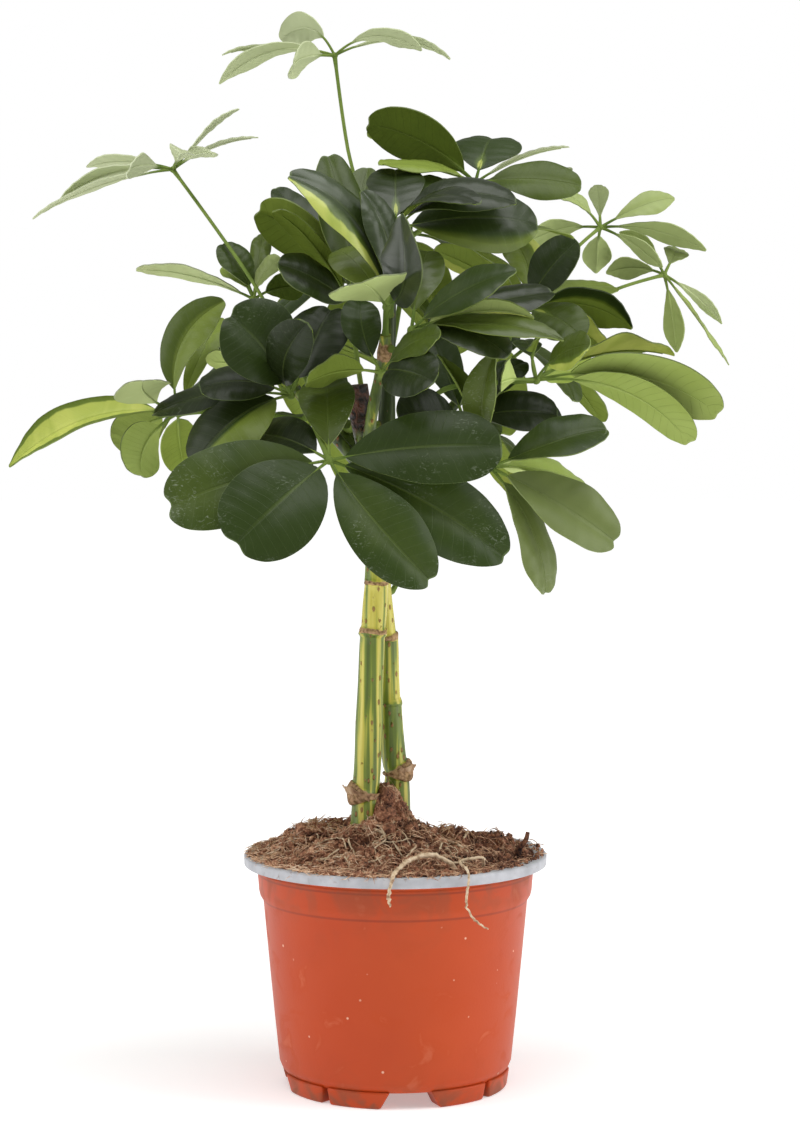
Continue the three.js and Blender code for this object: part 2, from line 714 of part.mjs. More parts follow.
// Leaves on the far side of the crown: even whorls about a hub, turned about it and tilted along x and y
const FAR_LEAVES = [
  { name: "leaf_back_left", stem: "shoot_back", at: 0.9, hub: [-52, 322, 84], turn: 10, tilt: [-0.4, 0.5] },
  { name: "leaf_back_centre", stem: "shoot_back", at: 1, hub: [-16, 350, 88], turn: 40, tilt: [0, 0.5] },
  { name: "leaf_back_right", stem: "shoot_right", at: 0.66, hub: [46, 322, 76], turn: 25, tilt: [0.4, 0.5] },
  { name: "leaf_back_low", stem: "shoot_back", at: 0.5, hub: [-34, 288, 70], turn: 0, tilt: [-0.2, 0.7] },
  { name: "leaf_low_back", stem: "cane_right", at: 0.66, hub: [24, 288, 60], turn: 50, tilt: [0.2, 0.6] },
  { name: "leaf_back_top", stem: "cane_right", at: 0.9, hub: [8, 368, 58], turn: 15, tilt: [0.1, 0.4] },
];
const FAR_LEAFLETS = 6;
const FAR_REACH = 54;
const FAR_WIDTH = 22;
const FAR_DROOP = 0.4;
const FAR_STALK = 8;
const FAR_BOW = 6;
const FAR_NOTCH = 1;
// How much every third far leaflet is shorter, and every second hangs lower
const FAR_SHORTER = 0.12;
const FAR_LOWER = 0.25;

// How wide an obovate blade is at a share of its length, where 1 is its widest
function bladeWidth(share) {
  return 2.211 * share ** 0.75 * (1 - share) ** 0.45;
}

// A leaflet's frame: along runs to its tip, up is the way that its upper face looks, and side
// points right, or up where the leaflet lies level.
// Left to itself the upper face looks up as far as it can. At a face of 1 it looks at the eye, at -1 away.
function leafletFrame(hub, tip, face) {
  const along = tip.clone().sub(hub).normalize();
  const up = new THREE.Vector3(0, 0, 1).addScaledVector(along, -along.z).normalize();
  const toEye = new THREE.Vector3(0, -Math.sign(face || 1), 0);
  toEye.addScaledVector(along, -toEye.dot(along)).normalize();
  const turn = up.angleTo(toEye) * Math.sign(up.clone().cross(toEye).dot(along));
  up.applyAxisAngle(along, turn * Math.abs(face));
  const side = along.clone().cross(up);
  if (side.x + side.z / 2 < 0) side.negate();
  return { along, up, side };
}

const TIP_SHARE = 0.975;
const SHARES = [0, 0.28, 0.62, 0.88, TIP_SHARE];
const FOLD = 0.1;

// The sections of a leaflet from the hub to its tip, thickened by pad for a test of its room: six points
// where the blade is folded at its rib, and four where it is flat across
function leafletSections(hub, tip, leaf, pad) {
  const length = tip.distanceTo(hub);
  const { along, up, side } = leafletFrame(hub, tip, leaf.face);
  const blade = 1 - leaf.stalk / length;
  const section = (place, halfWidth, thickness, back) => {
    const lift = 4 * place * (1 - place);
    const slope = 4 * (1 - 2 * place);
    const centre = hub.clone().addScaledVector(along, length * place);
    centre.addScaledVector(up, leaf.bow * lift).addScaledVector(side, leaf.sweep * lift);
    const forward = along.clone().multiplyScalar(length);
    forward.addScaledVector(up, leaf.bow * slope).addScaledVector(side, leaf.sweep * slope).normalize();
    const across = forward.clone().cross(up).normalize();
    const over = across.clone().cross(forward);
    const half = thickness / 2 + pad;
    const point = (sideways, above, behind) => centre.clone()
      .addScaledVector(across, sideways * (halfWidth + pad))
      .addScaledVector(over, above + (leaf.folded ? Math.abs(sideways) * FOLD * halfWidth : 0))
      .addScaledVector(forward, -behind);
    const ring = [
      point(-1, -half, 0), point(-1, half, 0), point(0, half, back),
      point(1, half, 0), point(1, -half, 0), point(0, -half, back),
    ];
    return leaf.folded ? ring : ring.filter((_, corner) => corner % 3 !== 2);
  };
  const sections = [section(0, STALK_WIDTH / 2, STALK_THICKNESS, 0)];
  for (const share of SHARES) {
    const halfWidth = Math.max(STALK_WIDTH / 2, (leaf.width / 2) * bladeWidth(share));
    const thickness = share === 0 ? STALK_THICKNESS : BLADE;
    const back = share === TIP_SHARE ? leaf.notch : 0;
    sections.push(section(1 - blade * (1 - share), halfWidth, thickness, back));
  }
  return sections;
}

// Bends a leaflet along the line of sight, first a little and then more, until it has room
function placeLeaflet(leaf, row, others, fellows) {
  const step = (index) => BEND_STEP * Math.ceil(index / 2) * (index % 2 === 1 ? 1 : -1);
  for (let index = 0; index <= BEND_STEPS; index += 1) {
    const tip = further(row.tip, index === 0 ? 0 : step(index));
    const padded = leafletSections(leaf.hubPoint, tip, row, CLEAR);
    const probe = solid(loft(padded));
    const bladeProbe = solid(loft(padded.slice(2)));
    const meetsOthers = others.some((body) => crosses(probe, body));
    const blocked = meetsOthers || fellows.some((body) => crosses(bladeProbe, body));
    if (blocked) continue;
    const sections = leafletSections(leaf.hubPoint, tip, row, 0);
    return { body: solid(loft(sections)), blade: solid(loft(sections.slice(2))) };
  }
  throw new Error(`no room for leaflet ${row.order} of ${leaf.name}`);
}

// The rows of a leaf as leaflets with real places
function leafletsOf(leaf) {
  return leaf.leaflets.map(([x, z, away, width, face, bow, sweep, notch], order) => {
    const level = seen(x, z, leaf.hub[2]);
    const shown = level.distanceTo(leaf.hubPoint);
    const unseen = Math.sqrt(Math.max(0, leaf.reach ** 2 - shown ** 2));
    const tip = further(level, away * unseen);
    return { order, tip, width, face, bow, sweep, notch, stalk: leaf.stalk, folded: !leaf.flat };
  });
}

function farLeaflets(leaf) {
  return Array.from({ length: FAR_LEAFLETS }, (_, order) => {
    const turn = degrees(leaf.turn + (360 / FAR_LEAFLETS) * order);
    const reach = FAR_REACH * (1 - FAR_SHORTER * (order % 3));
    const level = new THREE.Vector3(Math.cos(turn), Math.sin(turn), 0);
    const tilt = 0.5 * (level.x * leaf.tilt[0] + level.y * leaf.tilt[1]);
    const tip = leaf.hubPoint.clone().addScaledVector(level, reach);
    tip.z -= reach * (FAR_DROOP + FAR_LOWER * (order % 2) + tilt);
    const shape = { width: FAR_WIDTH, face: 0, bow: FAR_BOW, sweep: 0, notch: FAR_NOTCH, stalk: FAR_STALK };
    return { order, tip, ...shape };
  });
}

// The leaf stalk starts just off the side or the end of its stem, runs straight at first and ends in the hub
const PETIOLE_START = 3;
function petioleRoute(leaf) {
  const route = STEMS[leaf.stem];
  const points = route.map(([x, z, depth]) => seen(x, z, depth));
  const share = leaf.at * (points.length - 1);
  const index = Math.min(Math.floor(share), points.length - 2);
  const root = points[index].clone().lerp(points[index + 1], share - index);
  const radius = THREE.MathUtils.lerp(route[index][3], route[index + 1][3], share - index);
  const along = points[index + 1].clone().sub(points[index]).normalize();
  const places = (leaf.via || []).map((place) => seen(...place));
  const out = (places[0] || leaf.hubPoint).clone().sub(root);
  const way = leaf.at < 1 ? out.addScaledVector(along, -out.dot(along)).normalize() : along;
  const first = root.clone().addScaledVector(way, (leaf.at < 1 ? radius : 0) + SEAT);
  const second = first.clone().addScaledVector(way, PETIOLE_START);
  return [first, second, ...places, leaf.hubPoint.clone()];
}

// Everything is put together from here on
const canes = {
  cane_left: together([
    stem(CANE_LEFT, CANE_SIDES),
    stem(SHOOT_CENTRE, SHOOT_SIDES),
    stem(SHOOT_LEFT, SHOOT_SIDES),
  ]),
  cane_right: together([
    stem(CANE_RIGHT, CANE_SIDES),
    stem(SHOOT_RIGHT, SHOOT_SIDES),
    stem(SHOOT_BACK, SHOOT_SIDES),
  ]),
};

const roots = [...ROOTS, ...SURFACE_ROOTS].map((root) => {
  const points = rootPoints(root);
  return {
    name: root.name,
    body: bar(points, root.radius, STALK_SIDES, root.steps),
    groove: bar(points, root.radius + GAP + GROOVE_GAP, STALK_SIDES, root.steps),
  };
});

// The canes stand in plain holes, as deep as their lowest rows and a little wider
const sockets = [CANE_LEFT, CANE_RIGHT].map((route) => {
  const rows = route.slice(0, SOCKET_ROWS);
  const wide = rows.map(([x, z, depth, radius]) => [x, z, depth, radius + GAP + SOCKET_GAP]);
  wide[0][1] -= 2 * GAP;
  return stem(wide, CANE_SIDES);
});

const pot = makePot();
const soil = makeSoil([...sockets, ...roots.map((root) => root.groove)]);

const leaves = [...LEAVES, ...FAR_LEAVES].map((leaf) => {
  const hubPoint = seen(...leaf.hub);
  const whole = { ...leaf, hubPoint };
  whole.rows = leaf.leaflets ? leafletsOf(whole) : farLeaflets(whole);
  const route = petioleRoute(whole);
  const hub = new THREE.IcosahedronGeometry(HUB, 0);
  hub.translate(...hubPoint);
  whole.petiole = bar(route, PETIOLE, STALK_SIDES, 2 * route.length - 3).add(solid(hub));
  return whole;
});

const still = [pot, soil, canes.cane_left, canes.cane_right, ...roots.map((root) => root.body)];
const grown = [];
for (const leaf of leaves) {
  const stalks = leaves.filter((other) => other !== leaf).map((other) => other.petiole);
  const fellows = [];
  const bodies = [];
  for (const row of leaf.rows) {
    const placed = placeLeaflet(leaf, row, [...still, ...stalks, ...grown], fellows);
    fellows.push(placed.blade);
    bodies.push(placed.body);
  }
  grown.push(...bodies);
  leaf.body = together([leaf.petiole, ...bodies]);
}

const plant = new THREE.Group();
plant.add(part("pot", pot, 0xc55630, 0.45));
plant.add(part("soil", soil, 0x4a3022, 0.95));
plant.add(part("cane_left", canes.cane_left, 0x8f9a45, 0.6));
plant.add(part("cane_right", canes.cane_right, 0x7f8c3f, 0.6));
for (const root of roots) plant.add(part(root.name, root.body, 0xcdb496, 0.8));
for (const leaf of leaves) plant.add(part(leaf.name, leaf.body, 0x45602f, 0.4));

// The origin is the middle of the plant's footprint, at the height of the pot's feet
const extent = new THREE.Box3().setFromObject(plant);
const middle = extent.getCenter(new THREE.Vector3());
const potted = new THREE.Group();
plant.position.set(-middle.x, -middle.y, -extent.min.z);
potted.add(plant);
potted.updateMatrixWorld(true);

export default potted;
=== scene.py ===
# %% [markdown]
# # A potted umbrella plant
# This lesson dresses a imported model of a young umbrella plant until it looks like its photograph. The
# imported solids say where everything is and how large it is, but they have few faces and plain colours. So
# each solid is stood for by a finer piece that keeps its form. We begin by loading the solids and keeping
# their box.

# %% Load the solids
import math

import bmesh
import bpy
import numpy as np
from mathutils import Matrix, Vector
from mathutils.kdtree import KDTree


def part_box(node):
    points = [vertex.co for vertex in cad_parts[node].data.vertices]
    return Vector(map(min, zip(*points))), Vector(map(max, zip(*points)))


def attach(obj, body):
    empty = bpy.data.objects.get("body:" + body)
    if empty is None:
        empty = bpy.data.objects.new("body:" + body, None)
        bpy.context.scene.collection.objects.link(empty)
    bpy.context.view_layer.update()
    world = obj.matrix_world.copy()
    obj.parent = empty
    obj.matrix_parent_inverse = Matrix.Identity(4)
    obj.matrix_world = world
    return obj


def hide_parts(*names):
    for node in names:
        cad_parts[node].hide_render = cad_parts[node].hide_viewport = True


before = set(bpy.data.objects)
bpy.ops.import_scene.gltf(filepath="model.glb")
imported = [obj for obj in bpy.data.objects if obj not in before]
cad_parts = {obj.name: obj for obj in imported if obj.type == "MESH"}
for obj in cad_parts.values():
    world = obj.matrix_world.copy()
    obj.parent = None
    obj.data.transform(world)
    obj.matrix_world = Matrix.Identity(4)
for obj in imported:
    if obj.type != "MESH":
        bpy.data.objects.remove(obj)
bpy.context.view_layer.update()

MM = 0.001
POT_LOW, POT_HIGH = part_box("pot")
POT_AXIS = Vector(((POT_LOW.x + POT_HIGH.x) / 2, (POT_LOW.y + POT_HIGH.y) / 2, 0))

# %% [markdown]
# ## Where the eye stands
# The plant was photographed from a little over a metre away, with the lens level with its crown and tipped
# down slightly. Everything in the crown was measured through that lens, so the camera comes first and the
# same eye is used again wherever a place is known only from the picture. Lengths are in millimetres from the
# pot's axis until they are used.

# %% The camera
EYE = Vector((2.0, -1200.0, 303.0))
TIPPED_DOWN = 0.065
FOCAL_PIXELS = 2803
PHOTO_HEIGHT = 1129
SENSOR = 36.0

lens = bpy.data.cameras.new("camera")
lens.sensor_width = SENSOR
lens.lens = SENSOR * FOCAL_PIXELS / PHOTO_HEIGHT
camera = bpy.data.objects.new("camera", lens)
bpy.context.scene.collection.objects.link(camera)
camera.location = EYE * MM + POT_AXIS
camera.rotation_euler = (math.pi / 2 - TIPPED_DOWN, 0, 0)
bpy.context.scene.camera = camera
print("lens in mm:", round(lens.lens, 1))

# %% [markdown]
# ## The studio
# The background of the photograph is plain white and the plant casts hardly a shadow. A white world gives
# light from all sides. Two large soft lamps stand to the left and right, as the pale strips near both edges
# of the pot show, and a third hangs over the crown, where it puts a sheen on the upper leaves. The lamps
# reach the far floor less, so the floor's outer rings glow a little more, and no horizon shows.

# %% The floor, the world and three soft lamps
FLOOR_SIDES = 96
FLOOR_RINGS = (0.45, 0.9, 6)
FLOOR_GLOWS = (0.34, 0.6, 0.76)
WORLD_STRENGTH = 0.32
SEEN_STRENGTH = 1.0
PLANT_MIDDLE = Vector((0, 0, 0.25))


def only(piece):
    """Selects one object and nothing else."""
    bpy.ops.object.select_all(action="DESELECT")
    piece.select_set(True)
    bpy.context.view_layer.objects.active = piece


def soft_lamp(name, place, size, power):
    """A square lamp that faces the middle of the plant."""
    lamp = bpy.data.lights.new(name, "AREA")
    lamp.shape = "RECTANGLE"
    lamp.size, lamp.size_y = size
    lamp.energy = power
    stand = bpy.data.objects.new(name, lamp)
    bpy.context.scene.collection.objects.link(stand)
    stand.location = place
    stand.rotation_euler = (PLANT_MIDDLE - Vector(place)).to_track_quat("-Z", "Y").to_euler()
    return stand


bpy.ops.mesh.primitive_circle_add(vertices=FLOOR_SIDES, radius=FLOOR_RINGS[0], fill_type="NGON")
floor = bpy.context.object
floor.name = "floor"
bpy.ops.object.mode_set(mode="EDIT")
bpy.ops.mesh.select_all(action="SELECT")
bpy.ops.mesh.select_mode(type="EDGE")
for radius, next_radius in zip(FLOOR_RINGS, FLOOR_RINGS[1:]):
    bpy.ops.mesh.extrude_edges_move()
    grow = next_radius / radius
    bpy.ops.transform.resize(value=(grow, grow, 1), center_override=(0, 0, 0))
bpy.ops.object.mode_set(mode="OBJECT")
world = bpy.data.worlds.new("studio")
bpy.context.scene.world = world
world.use_nodes = True
air = world.node_tree
background = air.nodes["Background"].inputs
background["Color"].default_value = (1, 1, 1, 1)
rays = air.nodes.new("ShaderNodeLightPath")
strength = air.nodes.new("ShaderNodeMapRange")
strength.inputs["To Min"].default_value = WORLD_STRENGTH
strength.inputs["To Max"].default_value = SEEN_STRENGTH
air.links.new(rays.outputs["Is Camera Ray"], strength.inputs["Value"])
air.links.new(strength.outputs["Result"], background["Strength"])
bpy.context.scene.view_settings.view_transform = "Standard"
lamps = [
    soft_lamp("lamp_left", (-1.1, -0.2, 0.6), (0.7, 1.2), 6),
    soft_lamp("lamp_right", (1.1, -0.2, 0.6), (0.7, 1.2), 7),
    soft_lamp("lamp_over", (0.1, -0.3, 1.5), (1.4, 1.0), 14),
]
print("lamps:", len(lamps))

# %% [markdown]
# ## Shader maths as plain sums
# A material is a graph of nodes. Written node by node it is long and hard to read, so one small class wraps
# a socket and lets Python's own operators add the Math nodes. `Finish` holds one material: `node` makes any
# other node, `base` and `lay` put colours on it layer by layer, and `give` feeds a result to the shader.

# %% A socket that can be added and multiplied
class Value:
    """A socket of a material that takes part in sums, as in mask * 2 + 0.1."""

    def __init__(self, finish, socket):
        self.finish = finish
        self.socket = socket

    def maths(self, operation, *values):
        return self.finish.node("ShaderNodeMath", {"operation": operation}, values)

    def __add__(self, other):
        return self.maths("ADD", self, other)

    def __radd__(self, other):
        return self.maths("ADD", other, self)

    def __sub__(self, other):
        return self.maths("SUBTRACT", self, other)

    def __rsub__(self, other):
        return self.maths("SUBTRACT", other, self)

    def __mul__(self, other):
        return self.maths("MULTIPLY", self, other)

    def __abs__(self):
        return self.maths("ABSOLUTE", self)

    def sine(self):
        return self.maths("SINE", self)

    def sign(self):
        return self.maths("SIGN", self)

    def rise(self, low, high):
        """0 up to low, 1 from high on, and smooth between them. low may be the larger one."""
        settings = {"interpolation_type": "SMOOTHSTEP"}
        return self.finish.node("ShaderNodeMapRange", settings, (self, low, high))


class Finish:
    """One material, from its plain sockets to what varies over the surface."""

    def __init__(self, name, **plain):
        self.material = bpy.data.materials.new(name)
        self.material.use_nodes = True
        self.tree = self.material.node_tree
        self.shader = self.tree.nodes["Principled BSDF"]
        for socket, value in plain.items():
            self.shader.inputs[socket.replace("_", " ")].default_value = value

    def node(self, kind, settings=None, inputs=(), output=0):
        """Adds a node, gives it its settings and then its inputs, and returns one of its outputs."""
        node = self.tree.nodes.new(kind)
        for name, setting in (settings or {}).items():
            setattr(node, name, setting)
        pairs = inputs.items() if isinstance(inputs, dict) else enumerate(inputs)
        for key, given in pairs:
            if isinstance(given, Value):
                self.tree.links.new(given.socket, node.inputs[key])
            else:
                node.inputs[key].default_value = given
        return Value(self, node.outputs[output])

    def place(self, stretch=(1, 1, 1)):
        """The place on the object, stretched along its axes."""
        where = self.node("ShaderNodeTexCoord", output=3)
        return self.node("ShaderNodeMapping", {}, {"Vector": where, "Scale": stretch})

    def along_axis(self, axis):
        """The place along one axis (0 to 2), in metres."""
        where = self.node("ShaderNodeTexCoord", output=3)
        return self.node("ShaderNodeSeparateXYZ", {}, (where,), axis)

    def noise(self, scale, detail=3.0, where=None, distortion=0.0):
        where = where or self.place()
        inputs = {"Vector": where, "Scale": scale, "Detail": detail, "Distortion": distortion}
        return self.node("ShaderNodeTexNoise", {}, inputs)

    def dots(self, scale, stretch=(1, 1, 1)):
        """How far the nearest of many scattered dots is."""
        return self.node("ShaderNodeTexVoronoi", {}, {"Vector": self.place(stretch), "Scale": scale})

    def mark(self, name):
        """A number that each point of the mesh carries."""
        return self.node("ShaderNodeAttribute", {"attribute_name": name}, output=2)

    def ramp(self, share, stops):
        """A colour that changes with share, from stops that hold a colour each."""
        colour = self.node("ShaderNodeValToRGB", {}, (share,))
        ramp = colour.socket.node.color_ramp.elements
        while len(ramp) < len(stops):
            ramp.new(1)
        for stop, (position, colours) in zip(ramp, stops.items()):
            stop.position = position
            stop.color = paint(*colours)
        return colour

    def give(self, socket, value):
        self.tree.links.new(value.socket, self.shader.inputs[socket])

    def base(self, colour):
        """Gives the surface its first colour."""
        self.colour = colour
        self.give("Base Color", colour)

    def lay(self, share, colour):
        """Lays a colour over the colour so far: not at all where share is 0, fully where it is 1."""
        over = colour if isinstance(colour, Value) else paint(*colour)
        self.base(self.node("ShaderNodeMix", {"data_type": "RGBA"}, {0: share, 6: self.colour, 7: over}, 2))

    def relief(self, height, distance, strength=1.0):
        inputs = {"Height": height, "Distance": distance, "Strength": strength}
        self.give("Normal", self.node("ShaderNodeBump", {}, inputs))


def paint(red, green, blue):
    """A colour as it is seen on a screen, 0 to 255, as the linear colour that a shader takes."""
    def linear(part):
        share = part / 255
        return share / 12.92 if share <= 0.04045 else ((share + 0.055) / 1.055) ** 2.4
    return (linear(red), linear(green), linear(blue), 1.0)


for ring, glow in enumerate(FLOOR_GLOWS):
    paper = Finish(f"backdrop_paper_{ring}", Roughness=0.9, Specular_IOR_Level=0.1,
                   Emission_Color=(1, 1, 1, 1), Emission_Strength=glow)
    paper.base(paper.ramp(paper.noise(3.0), {0.0: (240, 240, 240), 1.0: (246, 246, 246)}))
    floor.data.materials.append(paper.material)
for face in floor.data.polygons:
    reach = max(floor.data.vertices[corner].co.length for corner in face.vertices)
    face.material_index = FLOOR_RINGS.index(min(FLOOR_RINGS, key=lambda radius: abs(radius - reach)))
print("the floor has its paper")

# %% [markdown]
# ## The leaf finishes
# An umbrella plant's leaflet is leathery. Its upper face is deep green with a soft sheen, a pale rib and a
# thin pale rim; its lower face is light and dull, with fine dark veins. Some leaflets of this plant have
# yellow patches on one side of the rib. Each blade carries a few numbers of its own, its marks: how light
# its faces are (`tone_above`, `tone_below`), which for blades deep in the crown holds painted shade as well
# as their own colour, how yellow it is from a margin and about its rib (`yellow`, `core`), how scratched
# (`dust`) and how shiny (`gloss`) it is, and how much pale wax lies on it while it is young (`bloom`). Its
# UV map runs across the blade in x and from stalk to tip in y.

# %% What both faces share
TONES = {
    0.0: (30, 40, 14), 0.25: (47, 63, 21), 0.5: (90, 105, 36), 0.75: (138, 156, 70), 1.0: (180, 196, 120),
}
WAX = (200, 206, 176)
SIDE_VEINS = 15


def blade_finish(name, roughness, shine):
    """A finish that knows how far across and along its blade each point lies."""
    finish = Finish(name, Roughness=roughness, Specular_IOR_Level=shine, Coat_Roughness=0.3)
    flat = finish.node("ShaderNodeUVMap", {"uv_map": "surface"})
    across, finish.along = [finish.node("ShaderNodeSeparateXYZ", {}, (flat,), axis) for axis in (0, 1)]
    finish.sideways = (across - 0.5) * 2
    finish.outwards = abs(finish.sideways)
    return finish


def add_yellow(finish, strength):
    """Lays the yellow patches on a blade, each with a band of middle green round it.

    The mark yellow is the share of the width that is yellow from one margin, and its sign says which.
    The mark core is the share that is yellow about the rib, and a negative one stays near the stalk."""
    margin = finish.mark("yellow")
    core = finish.mark("core")
    wander = (finish.noise(50.0, 4.0, finish.place((1, 1, 0.6)), 1.0) - 0.5) * 1.3
    from_margin = finish.sideways * margin.sign() - 1 + abs(margin) * 2
    near_stalk = (1 - core.sign()) * 0.8
    from_rib = abs(core) * 1.2 - finish.outwards - finish.along * near_stalk - 0.1
    inside = from_margin.maths("MAXIMUM", from_margin, from_rib) + wander * 0.4
    any_yellow = (abs(margin) + abs(core)).rise(0.0, 0.05) * strength
    finish.lay(inside.rise(-0.32, -0.02) * any_yellow * 0.5, (110, 132, 52))
    shade = finish.ramp(wander + 0.5, {0.25: (146, 164, 64), 0.6: (186, 194, 96)})
    finish.lay(inside.rise(-0.04, 0.05) * any_yellow, shade)


def side_veins(finish, width):
    """Thin lines that leave the rib on both sides and lean towards the tip. Wax hides them."""
    wander = finish.noise(60.0, 2.0) * 2.5
    wave = (finish.along * (SIDE_VEINS * math.pi) - finish.outwards * 5.0 + wander).sine()
    return abs(wave).rise(width, 0.0) * finish.mark("bloom").rise(0.2, 0.0)

# %% The upper face
upper = blade_finish("leaf_upper", 0.4, 0.18)
clouds = upper.noise(45.0, 4.0) - 0.5
upper.base(upper.ramp(upper.mark("tone_above") + clouds * 0.16 - upper.outwards * 0.03, TONES))
upper_veins = side_veins(upper, 0.16)
upper.lay(upper_veins * 0.05, (120, 140, 80))
add_yellow(upper, 0.92)
upper_rib = upper.outwards.rise(0.06, 0.015)
upper.lay(upper_rib * (0.32 - upper.along * 0.34), (118, 136, 66))
scratch = upper.noise(330.0, 6.0, upper.place((1, 0.4, 1.8)), 2.2).rise(0.55, 0.74)
towards_end = upper.along * 0.12 + upper.outwards * 0.08
worn = (upper.noise(38.0, 2.0) + towards_end).rise(0.6, 0.76) * upper.mark("dust")
upper_dust = scratch * worn
upper.lay(upper_dust * 0.34, (170, 178, 158))
upper.lay(upper.mark("rim").rise(0.55, 0.95) * upper.along.rise(0.05, 0.3) * 0.4, (116, 134, 84))
upper.lay(upper.mark("bloom"), (190, 198, 158))
upper.give("Roughness", 0.38 + clouds * 0.25 + upper_dust * 0.3)
upper.give("Coat Weight", upper.mark("gloss") * (0.8 + clouds))
upper.relief(upper_veins * -0.12 - upper_rib * 0.6 + clouds * 1.2, 0.0006, 0.6)

# %% The lower face
lower = blade_finish("leaf_lower", 0.85, 0.04)
lower_clouds = lower.noise(50.0, 3.0) - 0.5
lower.base(lower.ramp(lower.mark("tone_below") + lower_clouds * 0.14, TONES))
lower_veins = side_veins(lower, 0.1)
lower.lay(lower_veins * lower.noise(90.0, 3.0).rise(0.44, 0.6) * 0.4, (74, 84, 40))
add_yellow(lower, 0.8)
stain = lower.noise(26.0, 5.0, None, 1.0).rise(0.69, 0.76)
lower.lay(stain * lower.mark("dust") * 0.7, (150, 88, 60))
lower.lay(lower.mark("rim").rise(0.5, 0.95) * 0.35, (176, 190, 128))
lower.lay(lower.mark("bloom"), WAX)
lower.relief(lower_veins * 0.5 + lower_clouds, 0.0005, 0.6)

# %% The thin rim and the stalks
edge = Finish("leaf_rim", Roughness=0.5)
edge.base(edge.ramp(edge.mark("tone_above") * 0.6 + 0.3 + edge.noise(120.0) * 0.1, TONES))
edge.lay(edge.mark("bloom"), WAX)
stalk = Finish("leaf_stalk", Roughness=0.7, Specular_IOR_Level=0.1)
stalk.base(stalk.ramp(stalk.mark("tone_below") + 0.02, TONES))
stalk.lay(stalk.mark("bloom"), WAX)
on_blade = stalk.colour
stalk_noise = stalk.noise(90.0, 3.0, stalk.place((1, 1, 0.35)))
stalk.base(stalk.ramp(stalk_noise, {0.3: (84, 106, 44), 0.7: (122, 140, 68)}))
stalk.lay(stalk.mark("on_blade"), on_blade)
stalk.lay(stalk.mark("bark").rise(0.2, 0.9), (112, 86, 52))
stalk.relief(stalk_noise, 0.0004, 0.5)
LEAF_FINISHES = [upper.material, lower.material, edge.material, stalk.material]
print("leaf finishes:", [finish.name for finish in LEAF_FINISHES])

# %% [markdown]
# ## Bark, roots, soil and pot
# The canes are still green: yellow and green stripes run up them, with brown corky dots, and a brown scar
# crosses them wherever a leaf has fallen. The pot is thin moulded plastic, terracotta outside and light grey
# on its rim and inside, with pale specks of dust. Peat is a mass of brown fibres.

# %% The canes
cane = Finish("cane_bark", Roughness=0.45)
stripe = cane.noise(330.0, 2.0, cane.place((1, 1, 0.022)))
other_stripe = cane.noise(280.0, 2.0, cane.place((-1, 1.1, 0.03)))
# The mark added here shifts the stripes: up for the cane's own yellow bands, and down to the dark green first
# stop for painted shade, where the crown shades the canes' tops and the side shoots
stripe = stripe + (other_stripe - stripe) * cane.mark("section") + cane.mark("yellowing_and_shade")
patches = cane.noise(60.0, 3.0, cane.place((1, 1, 0.3)))
cane.base(cane.ramp(stripe * 0.8 + patches * 0.2, {
    0.2: (44, 58, 22), 0.38: (80, 98, 26), 0.48: (112, 130, 36),
    0.52: (164, 166, 60), 0.57: (196, 184, 74), 0.68: (212, 202, 98),
}))
cork = cane.dots(330.0, (1, 1, 0.55)).rise(0.26, 0.14) * cane.noise(190.0, 1.0).rise(0.38, 0.46)
cane.lay(cork * 0.85, (146, 98, 58))
scar = cane.mark("bark")
scar_edge = (scar + cane.noise(420.0, 4.0) * 0.7).rise(0.7, 0.85)
cane.lay(scar_edge * 0.9, cane.ramp(cane.noise(700.0, 4.0), {0.35: (112, 76, 52), 0.6: (186, 146, 112)}))
# The pruned stub: dark brown, with near-black painted shade in the hollows of its ridges, where this noise is
# low and the relief below sinks
stub = cane.mark("stub")
stub_noise = cane.noise(260.0, 5.0, None, 1.0)
cane.lay(stub, cane.ramp(stub_noise, {0.4: (26, 12, 8), 0.66: (112, 66, 50)}))
cane.give("Roughness", 0.42 + scar_edge * 0.4 + cork * 0.3)
scar_relief = scar * cane.noise(500.0) * 2.0
cane.relief(cork * 1.5 + stripe * 0.8 + scar_relief + stub * stub_noise * 8.0, 0.0006, 0.8)

# %% Collars, roots and soil
def dry_finish(name, roughness, stretch, stops, depth):
    """A dull finish with fibres, which run upwards where stretch is small."""
    finish = Finish(name, Roughness=roughness)
    fibres = finish.noise(420.0, 5.0, finish.place((1, 1, stretch)))
    finish.base(finish.ramp(fibres, stops))
    finish.relief(fibres, depth)
    return finish


def peat_finish(name, dark, middle, light):
    """Peat: mottled at two scales, rough all over, and drier and paler at its left."""
    finish = Finish(name, Roughness=0.95)
    shade = finish.noise(150.0, 6.0, None, 0.6) * 0.55 + finish.noise(900.0, 4.0) * 0.45
    drier = finish.along_axis(0) * -0.9
    finish.base(finish.ramp(shade + drier, {0.36: dark, 0.52: middle, 0.68: light}))
    finish.relief(shade, 0.0015)
    return finish


HUSK_STOPS = {0.3: (120, 88, 62), 0.5: (176, 142, 108), 0.72: (214, 188, 156)}
ROOT_STOPS = {0.3: (140, 106, 78), 0.5: (206, 182, 150), 0.75: (228, 210, 182)}
husk = dry_finish("dry_husk", 0.85, 0.25, HUSK_STOPS, 0.0008)
root = dry_finish("pale_root", 0.75, 1, ROOT_STOPS, 0.0004)
peat = peat_finish("peat", (36, 14, 8), (120, 76, 52), (204, 152, 116))
peat_crumb = peat_finish("peat_crumb", (44, 18, 12), (158, 106, 78), (236, 192, 156))
peat_fibre = peat_finish("peat_fibre", (108, 64, 44), (222, 178, 142), (252, 234, 208))

# %% The pot's two plastics
# The height and the width of the two dark lines round the collar, in metres: a line at the shoulder's step,
# and painted shadow under the rim's lip
SHOULDER_LINE_AND_RIM_SHADOW = ((0.0812, 0.0005), (0.0925, 0.0004))

